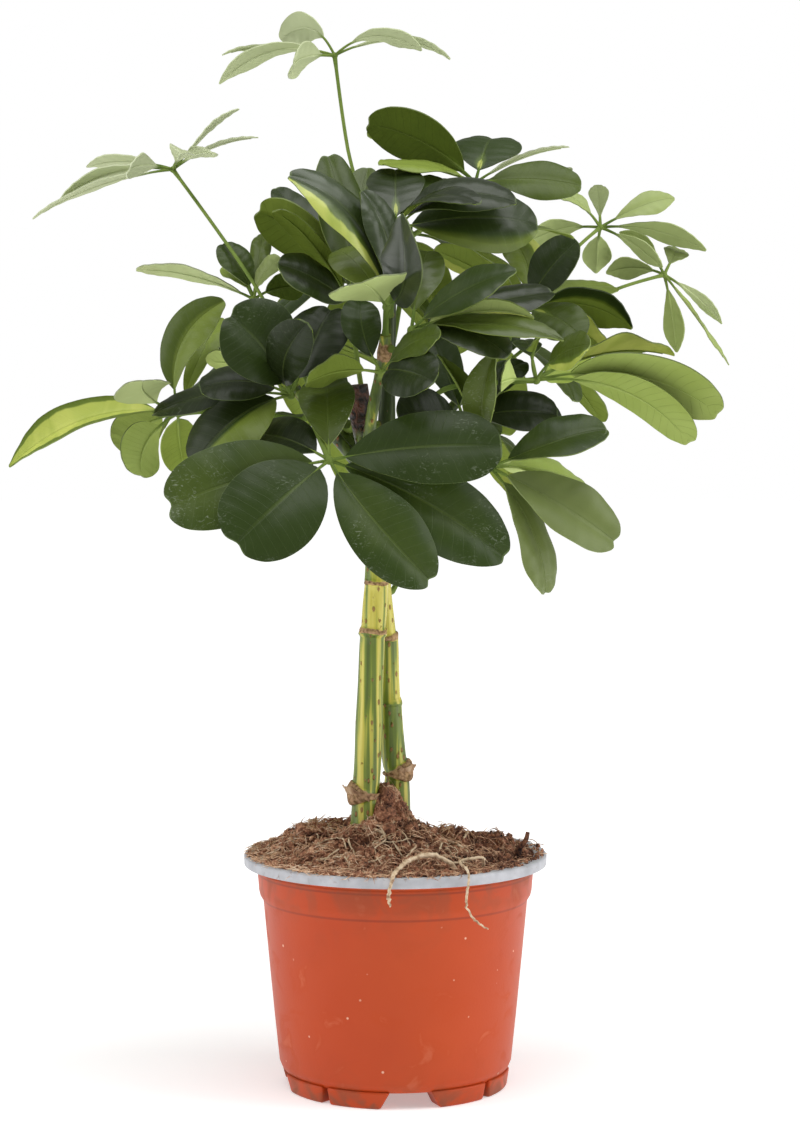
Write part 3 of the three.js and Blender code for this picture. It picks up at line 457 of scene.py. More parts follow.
terracotta = Finish("terracotta_plastic", Roughness=0.42, Specular_IOR_Level=0.3)
haze = terracotta.noise(14.0, 4.0)
grime = terracotta.noise(75.0, 6.0, None, 0.8)
terracotta.base(terracotta.ramp(haze, {0.3: (180, 62, 14), 0.7: (190, 72, 22)}))
few = terracotta.noise(88.0, 1.0).rise(0.58, 0.62)
terracotta.lay(terracotta.dots(150.0).rise(0.11, 0.05) * few * 0.8, (236, 196, 168))
terracotta.lay(grime.rise(0.62, 0.72) * 0.2, (222, 140, 108))
height = terracotta.along_axis(2)
# A dark line at the shoulder's step, and painted shadow under the rim's lip
for level, width in SHOULDER_LINE_AND_RIM_SHADOW:
    terracotta.lay(abs(height - level).rise(width * 1.6, width * 0.5) * 0.45, (112, 34, 18))
terracotta.lay(terracotta.mark("soiled") * grime.rise(0.42, 0.6) * 0.75, (124, 74, 50))
terracotta.give("Roughness", 0.4 + haze * 0.1 + grime.rise(0.5, 0.7) * 0.15)
terracotta.relief(terracotta.noise(900.0, 3.0) * 0.3 + haze, 0.0004, 0.35)

grey = Finish("grey_plastic", Roughness=0.5)
grey_noise = grey.noise(120.0, 5.0)
grey.base(grey.ramp(grey_noise, {0.3: (160, 161, 166), 0.6: (184, 185, 190), 0.8: (205, 205, 208)}))
grey.lay(grey.noise(210.0, 5.0, None, 0.7).rise(0.6, 0.7) * 0.6, (120, 92, 74))
grey.relief(grey_noise, 0.0003, 0.4)
print("other finishes:", [finish.material.name for finish in (cane, husk, root, peat, terracotta, grey)])

# %% [markdown]
# ## From the picture to a place
# The crown was measured on an upright plane through the pot's axis, as it is seen from the camera. `seen`
# turns such a reading, with its depth behind (+) or before (-) the plane, into a real place. The plant leans
# a little to the left, so readings are turned back about a point half way up.

# %% Places and smooth lines
PLANE_X = 1.7
PLANE_Z = 305
POT_X = -0.3
TABLE_Z = 2
LEAN = math.radians(0.8)
LEAN_Z = 227


def seen(x, z, depth):
    """Where a point lies that is seen at (x, z), in millimetres from the pot's axis."""
    right, up = x - PLANE_X, z - LEAN_Z
    turned_x = PLANE_X + right * math.cos(LEAN) - up * math.sin(LEAN)
    turned_z = LEAN_Z + right * math.sin(LEAN) + up * math.cos(LEAN)
    grow = 1 + depth / -EYE.y
    true_x = PLANE_X + (turned_x - PLANE_X) * grow - POT_X
    true_z = PLANE_Z + (turned_z - PLANE_Z) * grow - TABLE_Z
    return Vector((true_x, depth, true_z))


def further(place, step):
    """The same point of the picture, a step further from the eye."""
    return EYE + (place - EYE) * (1 + step / (place.y - EYE.y))


def in_frame(places):
    """Millimetres from the pot's axis to metres in the object's frame."""
    return np.asarray(places, float) * MM + np.array(POT_AXIS)


def smooth_line(points, steps):
    """A smooth line through all the points, with even steps between each two: a centripetal spline."""
    points = np.asarray(points, float)
    ends = np.vstack([2 * points[0] - points[1], points, 2 * points[-1] - points[-2]])
    line = []
    for first in range(len(points) - 1):
        four = ends[first:first + 4]
        knots = np.concatenate([[0], np.cumsum(np.sqrt(np.linalg.norm(np.diff(four, axis=0), axis=1)))])
        for step in range(steps):
            at = knots[1] + (knots[2] - knots[1]) * step / steps
            level = list(four)
            for width in (1, 2, 3):
                level = [
                    (level[i] * (knots[i + width] - at) + level[i + 1] * (at - knots[i]))
                    / (knots[i + width] - knots[i])
                    for i in range(4 - width)
                ]
            line.append(level[0])
    line.append(points[-1])
    return np.array(line)


def directions(line):
    """The way along a line at each of its points, with two more at right angles that don't twist."""
    along = np.gradient(line, axis=0)
    along /= np.linalg.norm(along, axis=1, keepdims=True)
    side = np.cross(along[0], (0.0, 1.0, 0.0) if abs(along[0][1]) < 0.9 else (1.0, 0.0, 0.0))
    sides = []
    for way in along:
        side = side - way * np.dot(side, way)
        side /= np.linalg.norm(side)
        sides.append(side.copy())
    sides = np.array(sides)
    return along, sides, np.cross(along, sides)


print("the pot's axis is seen at", tuple(round(value, 2) for value in EYE))

# %% [markdown]
# ## Making a tube by rolling up a sheet
# Canes, leaf stalks and roots are all tubes of changing thickness along a curved line. A grid of faces is a
# good start: one of its directions is rolled up round the line and the other runs along it, so its UV map
# comes for free. The seam is then merged and both ends are filled.

# %% A few tools for meshes
def places_of(piece):
    places = np.empty(len(piece.data.vertices) * 3)
    piece.data.vertices.foreach_get("co", places)
    return places.reshape(-1, 3)


def move_to(piece, places):
    piece.data.vertices.foreach_set("co", np.asarray(places, float).ravel())
    piece.data.update()


def spots_of(piece):
    """The points of a piece in millimetres from the pot's axis."""
    return (places_of(piece) - np.array(POT_AXIS)) / MM


def add_mark(piece, name, values):
    """Gives each point of a piece a number that its material can read."""
    mark = piece.data.attributes.new(name, "FLOAT", "POINT")
    mark.data.foreach_set("value", np.broadcast_to(values, len(piece.data.vertices)).astype(np.float32))


def edit(piece, *steps):
    """Runs steps of edit mode on a whole piece."""
    only(piece)
    bpy.ops.object.mode_set(mode="EDIT")
    bpy.ops.mesh.select_all(action="SELECT")
    for step in steps:
        step()
    bpy.ops.object.mode_set(mode="OBJECT")


def apply_modifier(piece, kind, **settings):
    only(piece)
    modifier = piece.modifiers.new(kind.lower(), kind)
    for name, setting in settings.items():
        setattr(modifier, name, setting)
    bpy.ops.object.modifier_apply(modifier=modifier.name)


def copy_of(piece):
    """A copy with a mesh of its own."""
    copied = piece.copy()
    copied.data = piece.data.copy()
    bpy.context.scene.collection.objects.link(copied)
    return copied


def joined(name, parts):
    """One piece from several."""
    only(parts[0])
    for part in parts:
        part.select_set(True)
    bpy.ops.object.join()
    parts[0].name = name
    parts[0].data.name = name
    return parts[0]


def shade_smooth(piece, degrees):
    """Smooth shading, apart from edges where the faces turn by more than some degrees."""
    only(piece)
    bpy.ops.object.shade_smooth_by_angle(angle=math.radians(degrees))


def point_outwards():
    bpy.ops.mesh.select_mode(type="VERT")
    bpy.ops.mesh.select_all(action="SELECT")
    bpy.ops.mesh.normals_make_consistent(inside=False)


def fill_ends():
    bpy.ops.mesh.remove_doubles(threshold=1e-7)
    bpy.ops.mesh.select_mode(type="EDGE")
    bpy.ops.mesh.select_all(action="DESELECT")
    bpy.ops.mesh.select_non_manifold()
    bpy.ops.mesh.edge_face_add()
    point_outwards()


def rolled(line, radii, sides, seam):
    """A sheet rolled up round a line: the piece, where its points go and the row of each point."""
    last = len(line) - 1
    bpy.ops.mesh.primitive_grid_add(x_subdivisions=sides, y_subdivisions=last, size=2)
    piece = bpy.context.object
    piece.data.uv_layers[0].name = "surface"
    flat = places_of(piece)
    row = np.rint((flat[:, 1] + 1) / 2 * last).astype(int)
    turn = (flat[:, 0] + 1) * math.pi + seam
    _, side, front = directions(line)
    spread = side[row] * np.cos(turn)[:, None] + front[row] * np.sin(turn)[:, None]
    return piece, line[row] + spread * np.broadcast_to(radii, last + 1)[row][:, None], row


def tube(name, line, radii, sides, finish, bark=0.0):
    """A closed tube round a line in millimetres. bark is a mark for each point of the line."""
    line = np.asarray(line, float)
    piece, places, row = rolled(line, radii, sides, math.pi / 2)
    piece.name = name
    move_to(piece, in_frame(places))
    add_mark(piece, "bark", np.broadcast_to(bark, len(line))[row])
    edit(piece, fill_ends)
    piece.data.materials.append(finish.material)
    shade_smooth(piece, 50)
    return piece


def dress(piece, slot, *nodes):
    """Puts a finished piece on the body, in the place of the solids that it stands for. The slot is not used.
    """
    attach(piece, "root")
    if nodes:
        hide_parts(*nodes)
    print(piece.name, "faces:", len(piece.data.polygons))
    return piece

# %% [markdown]
# ## The pot
# A nursery pot is one thin shell: a tapered wall with a step near its top, a flat rim, and a floor that
# stands on eight feet. A turned shape is pulled up ring by ring from a small circle, as on a potter's wheel:
# each new ring is extruded, then moved and resized. A bevel softens the corners that a mould would soften.

# %% The shell
POT_SIDES = 144
RIM_RADIUS = 65.3
POT_HEIGHT = 100.5
FLANGE_Z = 96.0
FOOT_HEIGHT = 6.8
FLOOR_Z = 8.2
HEEL_RADIUS, HEEL_Z = 50.2, 11
SHOULDER_RADIUS, SHOULDER_Z = 57, 80.7
COLLAR_RADIUS, COLLAR_Z = 58.5, 83.2
NECK_RADIUS = 60.5
WALL = 1.2
POT_OUTLINE = [
    (9, FOOT_HEIGHT), (36, FOOT_HEIGHT), (HEEL_RADIUS - 2.4, FOOT_HEIGHT),
    (HEEL_RADIUS - 0.9, HEEL_Z - 2.2), (HEEL_RADIUS, HEEL_Z), (52.3, 31), (54.6, 55),
    (SHOULDER_RADIUS, SHOULDER_Z), (COLLAR_RADIUS - 0.1, COLLAR_Z - 0.2), (COLLAR_RADIUS + 0.4, COLLAR_Z + 2),
    (NECK_RADIUS - 0.9, FLANGE_Z - 2.2), (NECK_RADIUS - 1.3, FLANGE_Z - 1.6), (NECK_RADIUS - 0.3, FLANGE_Z),
    (RIM_RADIUS - 0.1, FLANGE_Z),
    (RIM_RADIUS, POT_HEIGHT - 0.7), (RIM_RADIUS - 0.7, POT_HEIGHT), (NECK_RADIUS - WALL + 0.5, POT_HEIGHT),
    (COLLAR_RADIUS - WALL, COLLAR_Z + 0.8), (SHOULDER_RADIUS - WALL, SHOULDER_Z + 0.6),
    (HEEL_RADIUS - WALL, HEEL_Z + 0.8), (46, FLOOR_Z), (9, FLOOR_Z),
]


def turned(name, outline, sides):
    """A closed turned body: the outline is radius and height, from the middle of the bottom to the top."""
    first_radius, first_z = outline[0]
    bpy.ops.mesh.primitive_circle_add(vertices=sides, radius=first_radius * MM, fill_type="NGON",
                                      location=(POT_AXIS.x, POT_AXIS.y, first_z * MM))
    piece = bpy.context.object
    piece.name = name
    bpy.ops.object.transform_apply(location=True, rotation=True, scale=True)
    bpy.ops.object.mode_set(mode="EDIT")
    bpy.ops.mesh.select_all(action="SELECT")
    bpy.ops.mesh.select_mode(type="EDGE")
    for (radius, z), (next_radius, next_z) in zip(outline, outline[1:]):
        bpy.ops.mesh.extrude_edges_move()
        grow = next_radius / radius
        bpy.ops.transform.resize(value=(grow, grow, 1), center_override=(POT_AXIS.x, POT_AXIS.y, z * MM))
        bpy.ops.transform.translate(value=(0, 0, (next_z - z) * MM))
    bpy.ops.mesh.edge_face_add()
    point_outwards()
    bpy.ops.object.mode_set(mode="OBJECT")
    return piece


def bevel(piece, width, degrees):
    """Rounds the edges where the faces turn by more than some degrees."""
    limit = math.radians(degrees)
    apply_modifier(piece, "BEVEL", width=width * MM, segments=3, limit_method="ANGLE", angle_limit=limit)


pot = turned("pot_shell", POT_OUTLINE, POT_SIDES)
bevel(pot, 0.45, 28)

# %% Five drain holes in its floor
DRAIN_RADIUS = 4.5
DRAIN_CIRCLE = 42
FIRST_FOOT = -72
FOOT_ARC = 33.5
FOOT_SLOT = 2.5
DRAIN_DEPTH = 5


def on_pot(radius, turn):
    """A place round the pot's axis. Turns are in degrees from the front towards the right."""
    return Vector((radius * math.sin(math.radians(turn)), -radius * math.cos(math.radians(turn))))


drain_turns = [FIRST_FOOT + 90 * quarter - (90 - 2 * FOOT_ARC - FOOT_SLOT) / 2 for quarter in range(4)]
drain_places = [on_pot(DRAIN_CIRCLE, turn) for turn in drain_turns] + [Vector((0, 0))]
for place in drain_places:
    bpy.ops.mesh.primitive_cylinder_add(vertices=32, radius=DRAIN_RADIUS * MM, depth=DRAIN_DEPTH * MM,
                                        location=in_frame((place.x, place.y, FLOOR_Z - 0.7)))
    cutter = bpy.context.object
    apply_modifier(pot, "BOOLEAN", operation="DIFFERENCE", object=cutter, solver="EXACT")
    bpy.data.objects.remove(cutter)
print("drain holes:", len(drain_places))

# %% Eight feet
FOOT_OUTER, FOOT_INNER = 49.4, 38.0
FOOT_CUTS = 7
OUTER_SLOPE, INNER_SLOPE = 5, 1.2


def foot(start, end, start_slope, end_slope):
    """A block shaped into an arc of a ring that is shorter and narrower at its sole."""
    bpy.ops.mesh.primitive_cube_add(size=2)
    piece = bpy.context.object
    edit(piece, lambda: bpy.ops.mesh.subdivide(number_cuts=FOOT_CUTS))
    block = (places_of(piece) + 1) / 2
    low = 1 - block[:, 2]
    from_turn = start + start_slope * low
    to_turn = end - end_slope * low
    turn = np.radians(from_turn + (to_turn - from_turn) * block[:, 0])
    radius = FOOT_INNER + low + (FOOT_OUTER - FOOT_INNER - 2 * low) * block[:, 1]
    height = block[:, 2] * (FOOT_HEIGHT + 0.6)
    move_to(piece, in_frame(np.stack([radius * np.sin(turn), -radius * np.cos(turn), height], axis=1)))
    edit(piece, point_outwards)
    bevel(piece, 0.9, 45)
    return piece


feet = []
for quarter in range(4):
    start = FIRST_FOOT + 90 * quarter
    second = start + FOOT_ARC + FOOT_SLOT
    feet.append(foot(start, start + FOOT_ARC, OUTER_SLOPE, INNER_SLOPE))
    feet.append(foot(second, second + FOOT_ARC, INNER_SLOPE, OUTER_SLOPE))
pot = joined("pot_shell", [pot, *feet])
pot.data.materials.clear()
pot.data.materials.append(terracotta.material)
pot.data.materials.append(grey.material)
for face in pot.data.polygons:
    radius = (face.center - POT_AXIS).xy.length / MM
    level = face.center.z / MM
    wall = HEEL_RADIUS + (SHOULDER_RADIUS - HEEL_RADIUS) * (level - HEEL_Z) / (SHOULDER_Z - HEEL_Z)
    inner = radius < wall - WALL / 2 and level > FLOOR_Z - 0.2
    face.material_index = int(level > FLANGE_Z - 0.1 or (inner and radius <= NECK_RADIUS - 1))
heights = spots_of(pot)[:, 2]
add_mark(pot, "soiled", np.clip((12 - heights) / 10, 0, 1) + 0.6 * np.clip((heights - 78) / 12, 0, 1))
shade_smooth(pot, 35)
dress(pot, "pot", "pot")

# %% [markdown]
# ## The soil
# The pot is full of peat, heaped round the canes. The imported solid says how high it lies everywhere: a mound,
# a sharper peak where the roots begin, and a few lumps. The ball of soil is turned like the pot, with many
# rings over its top; each point of the top is then lifted to its height and roughened.

# %% How high the soil lies
SOIL_EDGE = 99.3
MOUND_X = -5.5
MOUND_HEIGHT, MOUND_SPREAD = 13, 34
PEAK_HEIGHT, PEAK_SPREAD = 14, 11
SOIL_LUMPS = [(25, 3, 5, 8), (46, 10, 5, 11), (-42, 8, 6, 17), (-30, 24, 3, 12)]
SOIL_RADIUS = 58


def hill(x, y, centre_x, centre_y, height, spread):
    return height * np.exp(-((x - centre_x) ** 2 + (y - centre_y) ** 2) / spread ** 2)


def soil_height(x, y):
    """The height of the packed soil at a place, in millimetres."""
    coarse = np.sin(0.31 * x + 1.3) * np.sin(0.27 * y + 0.4) + np.sin(0.19 * x - 0.23 * y + 2.1)
    fine = np.sin(0.83 * x + 0.35 * y) * np.sin(0.71 * y - 0.29 * x + 1.7)
    inside = np.clip((SOIL_RADIUS - np.hypot(x, y)) / 12, 0, 1)
    lumps = sum(hill(x, y, *lump) for lump in SOIL_LUMPS)
    mound = hill(x, y, MOUND_X, 0, MOUND_HEIGHT, MOUND_SPREAD)
    mound = mound + hill(x, y, MOUND_X, 1, PEAK_HEIGHT, PEAK_SPREAD)
    return SOIL_EDGE + mound + inside * (lumps + 0.9 * coarse + 0.9 * fine + 0.6)

# %% The ball of soil
SOIL_SIDES = 190
SOIL_TOP_RINGS = 60
SOIL_TOP_RADIUS = 57.5
PLAY = WALL + 0.7
soil_outline = [
    (8, FLOOR_Z + 0.3), (44, FLOOR_Z + 0.3), (HEEL_RADIUS - PLAY, HEEL_Z + 2),
    (SHOULDER_RADIUS - PLAY, SHOULDER_Z), (COLLAR_RADIUS - PLAY, COLLAR_Z + 2), (SOIL_RADIUS, SOIL_EDGE - 3),
]
for ring in range(SOIL_TOP_RINGS + 1):
    soil_outline.append((SOIL_TOP_RADIUS * (1 - ring / SOIL_TOP_RINGS) + 0.4, SOIL_EDGE))
soil = turned("soil_ball", soil_outline, SOIL_SIDES)
lumpy = bpy.data.textures.new("soil_lumps", "CLOUDS")
lumpy.noise_scale = 4.5 * MM
lumpy.noise_depth = 4
top = soil.vertex_groups.new(name="top")
ball = places_of(soil)
spots = spots_of(soil)
is_top = spots[:, 2] > SOIL_EDGE - 0.5
ball[is_top, 2] = soil_height(spots[is_top, 0], spots[is_top, 1]) * MM
move_to(soil, ball)
top.add(np.flatnonzero(is_top).tolist(), 1.0, "REPLACE")
apply_modifier(soil, "DISPLACE", texture=lumpy, texture_coords="LOCAL", strength=3.6 * MM,
               mid_level=0.55, vertex_group="top")
soil.data.materials.append(peat.material)
shade_smooth(soil, 40)
dress(soil, "soil", "soil")

# %% [markdown]
# ## Crumbs and fibres
# Peat is loose: crumbs lie on it and fibres stick out of it, some over the rim. One crumb and three fibres
# are modelled, each with only a few dozen faces. Many copies of each are laid on the soil at random places,
# turned and sized at random, with their own points. The seed makes the result the same each time.

# %% Scatter copies over the soil
rng = np.random.default_rng(7)


def random_turns(count, flatness):
    """Random turns for copies. flatness keeps their z axis near upright (1) or lets it go anywhere (0)."""
    spin = rng.uniform(0, 2 * math.pi, count)
    tip = rng.normal(0, 1, (count, 2)) * (1 - flatness) * 0.9
    cos, sin = np.cos(spin), np.sin(spin)
    turns = np.zeros((count, 3, 3))
    turns[:, 0, 0], turns[:, 0, 1] = cos, -sin
    turns[:, 1, 0], turns[:, 1, 1] = sin, cos
    turns[:, 2, 2] = 1
    lean = np.tile(np.eye(3), (count, 1, 1))
    lean[:, 0, 2], lean[:, 2, 0] = np.sin(tip[:, 0]), -np.sin(tip[:, 0])
    lean[:, 1, 2], lean[:, 2, 1] = np.sin(tip[:, 1]), -np.sin(tip[:, 1])
    lean[:, 0, 0] = np.cos(tip[:, 0])
    lean[:, 1, 1] = np.cos(tip[:, 1])
    return lean @ turns


def scattered(name, model, places, sizes, turns, finish):
    """One piece that holds a copy of the model at each place, in millimetres from the pot's axis."""
    shape = places_of(model)
    faces = np.array([list(face.vertices) for face in model.data.polygons])
    copies = np.einsum("nij,vj->nvi", turns, shape) * np.asarray(sizes).reshape(len(places), 1, -1)
    copies += np.asarray(places)[:, None, :]
    indices = faces[None] + (np.arange(len(places)) * len(shape))[:, None, None]
    mesh = bpy.data.meshes.new(name)
    points = in_frame(copies.reshape(-1, 3)).tolist()
    mesh.from_pydata(points, [], indices.reshape(-1, faces.shape[1]).tolist())
    mesh.polygons.foreach_set("use_smooth", np.ones(len(mesh.polygons), bool))
    mesh.materials.append(finish.material)
    mesh.update()
    piece = bpy.data.objects.new(name, mesh)
    bpy.context.scene.collection.objects.link(piece)
    return piece


def soil_places(count, reach):
    """Random places on the soil, more of them near its edge."""
    radius = reach * np.sqrt(rng.uniform(0, 1, count)) ** 0.7
    turn = rng.uniform(0, 2 * math.pi, count)
    x, y = radius * np.cos(turn), radius * np.sin(turn)
    return np.stack([x, y, soil_height(x, y)], axis=1)


def at_foot(count):
    """Places on the loose heap between the canes."""
    x, y = rng.normal(MOUND_X + 1, 7, count), rng.normal(-2, 6, count)
    return np.stack([x, y, soil_height(x, y)], axis=1)


def on_rim(count):
    """Places on the pot's rim, most of them at its left, where the soil spilled over."""
    turn = rng.normal(math.radians(238), math.radians(44), count)
    turn = np.where(rng.uniform(0, 1, count) < 0.25, rng.uniform(0, 2 * math.pi, count), turn)
    radius = 58 + (RIM_RADIUS - 59.6) * rng.uniform(0, 1, count) ** 1.3
    top = np.full(count, POT_HEIGHT + 0.3)
    return np.stack([radius * np.cos(turn), radius * np.sin(turn), top], axis=1)


# %% Crumbs
CRUMBS, FOOT_CRUMBS, CLUMPS, RIM_CRUMBS = 4600, 420, 60, 1700
CRUMB_REACH = 57

bpy.ops.mesh.primitive_ico_sphere_add(subdivisions=1, radius=1)
crumb = bpy.context.object
move_to(crumb, places_of(crumb) * rng.uniform(0.6, 1.25, (len(crumb.data.vertices), 1)))
crumb_places = soil_places(CRUMBS, CRUMB_REACH)
crumb_places[:FOOT_CRUMBS] = at_foot(FOOT_CRUMBS)
crumb_places[:, 2] += rng.uniform(-0.4, 0.9, CRUMBS)
crumb_sizes = rng.gamma(2.2, 0.28, (CRUMBS, 1)) * rng.uniform(0.6, 1.3, (CRUMBS, 3)) + 0.2
crumb_sizes[:FOOT_CRUMBS] *= 1.3
crumb_sizes[:CLUMPS] *= 2.2
crumb_places[-RIM_CRUMBS:] = on_rim(RIM_CRUMBS)
crumb_sizes[-RIM_CRUMBS:] *= 0.7
crumbs = scattered("soil_crumbs", crumb, crumb_places, crumb_sizes, random_turns(CRUMBS, 0.2), peat_crumb)
bpy.data.objects.remove(crumb)
dress(crumbs, "soil")

# %% Fibres
FIBRES, FOOT_FIBRES, RIM_FIBRES = 1000, 166, 200
FIBRE_REACH = 57.5
FIBRE_BENDS = [(0.0, 0.5), (2.2, 0.3), (1.2, 1.4)]
FIBRE_RADIUS = 0.2


def fibre_model(bend, wave):
    """A thin bent thread about 10 mm long, lying along x."""
    steps = np.linspace(-1, 1, 6)
    sideways = bend * (1 - steps ** 2) + wave * np.sin(steps * 3)
    line = np.stack([5 * steps, sideways, 0.6 * np.cos(steps * 2.5)], axis=1)
    piece, places, _ = rolled(line, FIBRE_RADIUS * (1.15 - np.abs(steps) ** 3), 3, 0)
    move_to(piece, places)
    edit(piece, fill_ends, lambda: bpy.ops.mesh.quads_convert_to_tris())
    return piece


def lying(places, turns):
    """Leans copies to the slope of the soil below them."""
    x, y = places[:, 0], places[:, 1]
    step = 1.5
    slope_x = (soil_height(x + step, y) - soil_height(x - step, y)) / (2 * step)
    slope_y = (soil_height(x, y + step) - soil_height(x, y - step)) / (2 * step)
    turns = turns.copy()
    turns[:, 2, :] += turns[:, 0, :] * slope_x[:, None] + turns[:, 1, :] * slope_y[:, None]
    return turns


for number, shape in enumerate(FIBRE_BENDS, 1):
    model = fibre_model(*shape)
    fibre_places = soil_places(FIBRES, FIBRE_REACH)
    fibre_places[:FOOT_FIBRES] = at_foot(FOOT_FIBRES)
    fibre_places[:, 2] += rng.uniform(-0.2, 1.3, FIBRES)
    fibre_places[-RIM_FIBRES:] = on_rim(RIM_FIBRES)
    fibre_sizes = rng.uniform(0.3, 1.1, (FIBRES, 1))
    fibre_turns = lying(fibre_places, random_turns(FIBRES, 0.72))
    fibres = scattered(f"soil_fibres_{number}", model, fibre_places, fibre_sizes, fibre_turns, peat_fibre)
    bpy.data.objects.remove(model)
    dress(fibres, "soil")

# %% [markdown]
# ## The canes
# Two woody canes stand in the soil, and each forks near the crown into green shoots. Their rows give x, z and
# depth as seen, and the radius: the sudden wide rows are scars and the dry collars of fallen leaves. A tube
# is laid through the rows, and the swollen rows are marked as bark for the finish.

# %% Rows of the canes and shoots
STEMS = {
    "cane_left": [
        (-15.6, 58, -5, 5.6), (-15.4, 112, -5, 6), (-14.8, 125, -5, 5.9), (-15.3, 126.5, -5, 7),
        (-15.2, 130, -5, 7.4), (-14.6, 131, -5, 5.8), (-13, 150, -4.5, 5.8), (-12, 170, -4, 5.7),
        (-10.6, 195.5, -4, 5.4), (-10.5, 197, -4, 6), (-10.3, 199, -4, 6), (-10.1, 200.5, -4, 5.2),
        (-8.6, 218, -3.5, 5), (-8.5, 219.5, -3.5, 5.5), (-8.4, 221, -3.5, 5), (-8, 245, -3, 4.9),
        (-10, 270, -3, 4.8), (-14, 290, -3, 4.7), (-15.5, 304, -4, 4.6),
    ],
    "cane_right": [
        (-0.6, 58, 7.5, 5.4), (-0.8, 128, 7.5, 5.5), (-0.9, 134.5, 7.5, 5.5), (-0.5, 136, 7.5, 6.7),
        (-0.7, 139, 7.5, 6.6), (-1.6, 140.5, 7.5, 5.4), (-3.6, 166, 8, 5.2), (-3.6, 167.5, 8, 5.6),
        (-3.9, 169, 8, 5.1), (-4.6, 194, 8.5, 5), (-4.7, 195.5, 8.5, 5.5), (-5.2, 197, 8.5, 4.9),
        (-7, 217, 9, 4.8), (-6, 245, 9.5, 4.6), (-4, 270, 10, 4.3), (-3, 292, 12, 3.6), (-2, 315, 14, 3),
        (-1, 340, 16, 2.7), (0, 357, 17, 2.3),
    ],
    "shoot_centre": [
        (-12, 272, -4, 2.6), (-9.6, 290, -13, 2.4), (-6.6, 305, -18, 2.3), (-4.6, 313, -21, 2.6),
        (-3.6, 318, -23, 3.1), (-3.2, 325, -26, 2.5),
    ],
    "shoot_left": [
        (-10, 262, -4, 2.7), (-21, 277, -5, 2.5), (-33, 291, -7, 2.4), (-42, 303, -8, 2.2),
    ],
    "shoot_right": [
        (-4, 258, 9, 2.8), (9, 276, 16, 2.6), (26, 295, 21, 2.4), (42, 308, 24, 2.2),
    ],
    "shoot_back": [
        (-6, 250, 10, 2.8), (-12, 276, 26, 2.5), (-20, 300, 42, 2.3), (-24, 316, 54, 2.1),
    ],
}

# %% Tubes for the canes
STEM_STEPS = 5
CANE_SIDES, SHOOT_SIDES = 40, 20
SWOLLEN = 1.06
# The heights where a cane's colour changes, how yellow (+) or green (-) it is there, and above which height
# its pruned end is brown. The yellow bands are the cane's own colour; the low values at the top of each cane
# and on the side shoots are painted shade, where the crown shades them
CANE_YELLOWING_AND_SHADE = {
    "cane_left": ([112, 197, 199, 219, 221, 250, 262], [0.05, -0.04, 0.08, 0.08, 0.0, -0.04, -0.2], 284),
    "cane_right": ([112, 167, 169, 194, 197, 240, 255], [-0.04, -0.02, 0.04, 0.0, 0.06, 0.06, -0.36], 999),
    "shoot_centre": ([0, 1], [-0.06, -0.06], 999),
}
SHOOT_GREEN_AND_SHADE = ([0, 1], [-0.3, -0.3], 999)


def stem_tube(name, rows, sides):
    """A tube through the rows of a stem. A row that is wider than its neighbours is a scar."""
    centres = [seen(x, z, depth) for x, z, depth, radius in rows]
    line = smooth_line(centres, STEM_STEPS)
    radii = np.array([row[3] for row in rows])
    at = np.linspace(0, len(rows) - 1, len(line))
    around = np.interp(at, range(len(rows)), radii)
    usual = np.array([np.median(radii[max(0, i - 3):i + 4]) for i in range(len(radii))])
    swollen = np.interp(at, range(len(rows)), (radii > usual * SWOLLEN).astype(float))
    around = around + 0.12 * np.sin(at * 2.3) + 0.08 * np.sin(at * 5.1)
    piece = tube(name, line, around, sides, cane, bark=swollen)
    readings = np.interp(at, range(len(rows)), [row[1] for row in rows])
    levels, shares, end = CANE_YELLOWING_AND_SHADE.get(name, SHOOT_GREEN_AND_SHADE)
    spots = spots_of(piece)
    nearest = np.array([np.argmin(((line - spot) ** 2).sum(axis=1)) for spot in spots])
    turn = np.arctan2(spots[:, 1] - line[nearest, 1], spots[:, 0] - line[nearest, 0])
    ragged = 0.9 * np.sin(turn + len(rows)) + 0.45 * np.sin(3 * turn + 1) + 0.2 * np.sin(8 * turn)
    spots[:, 2] += swollen[nearest] * ragged
    move_to(piece, in_frame(spots))
    # The cane's own yellowing, and painted shade at the top of the cane and on the side shoots
    add_mark(piece, "yellowing_and_shade", np.interp(readings, levels, shares)[nearest])
    add_mark(piece, "section", (np.searchsorted(levels, readings) // 2 % 2)[nearest])
    add_mark(piece, "stub", np.clip((readings - end) / 2, 0, 1)[nearest])
    return piece


SHOOTS = {"cane_left": ["shoot_centre", "shoot_left"], "cane_right": ["shoot_right", "shoot_back"]}
for name, shoots in SHOOTS.items():
    tubes = [stem_tube(name, STEMS[name], CANE_SIDES)]
    tubes += [stem_tube(shoot, STEMS[shoot], SHOOT_SIDES) for shoot in shoots]
    dress(joined(f"{name}_bark", tubes), "cane", name)

# %% [markdown]
# ## Dry collars
# Above the soil each cane wears the papery remains of a leaf base. They are short wide tubes with a torn,
# wavy upper edge, leaning out to one side.

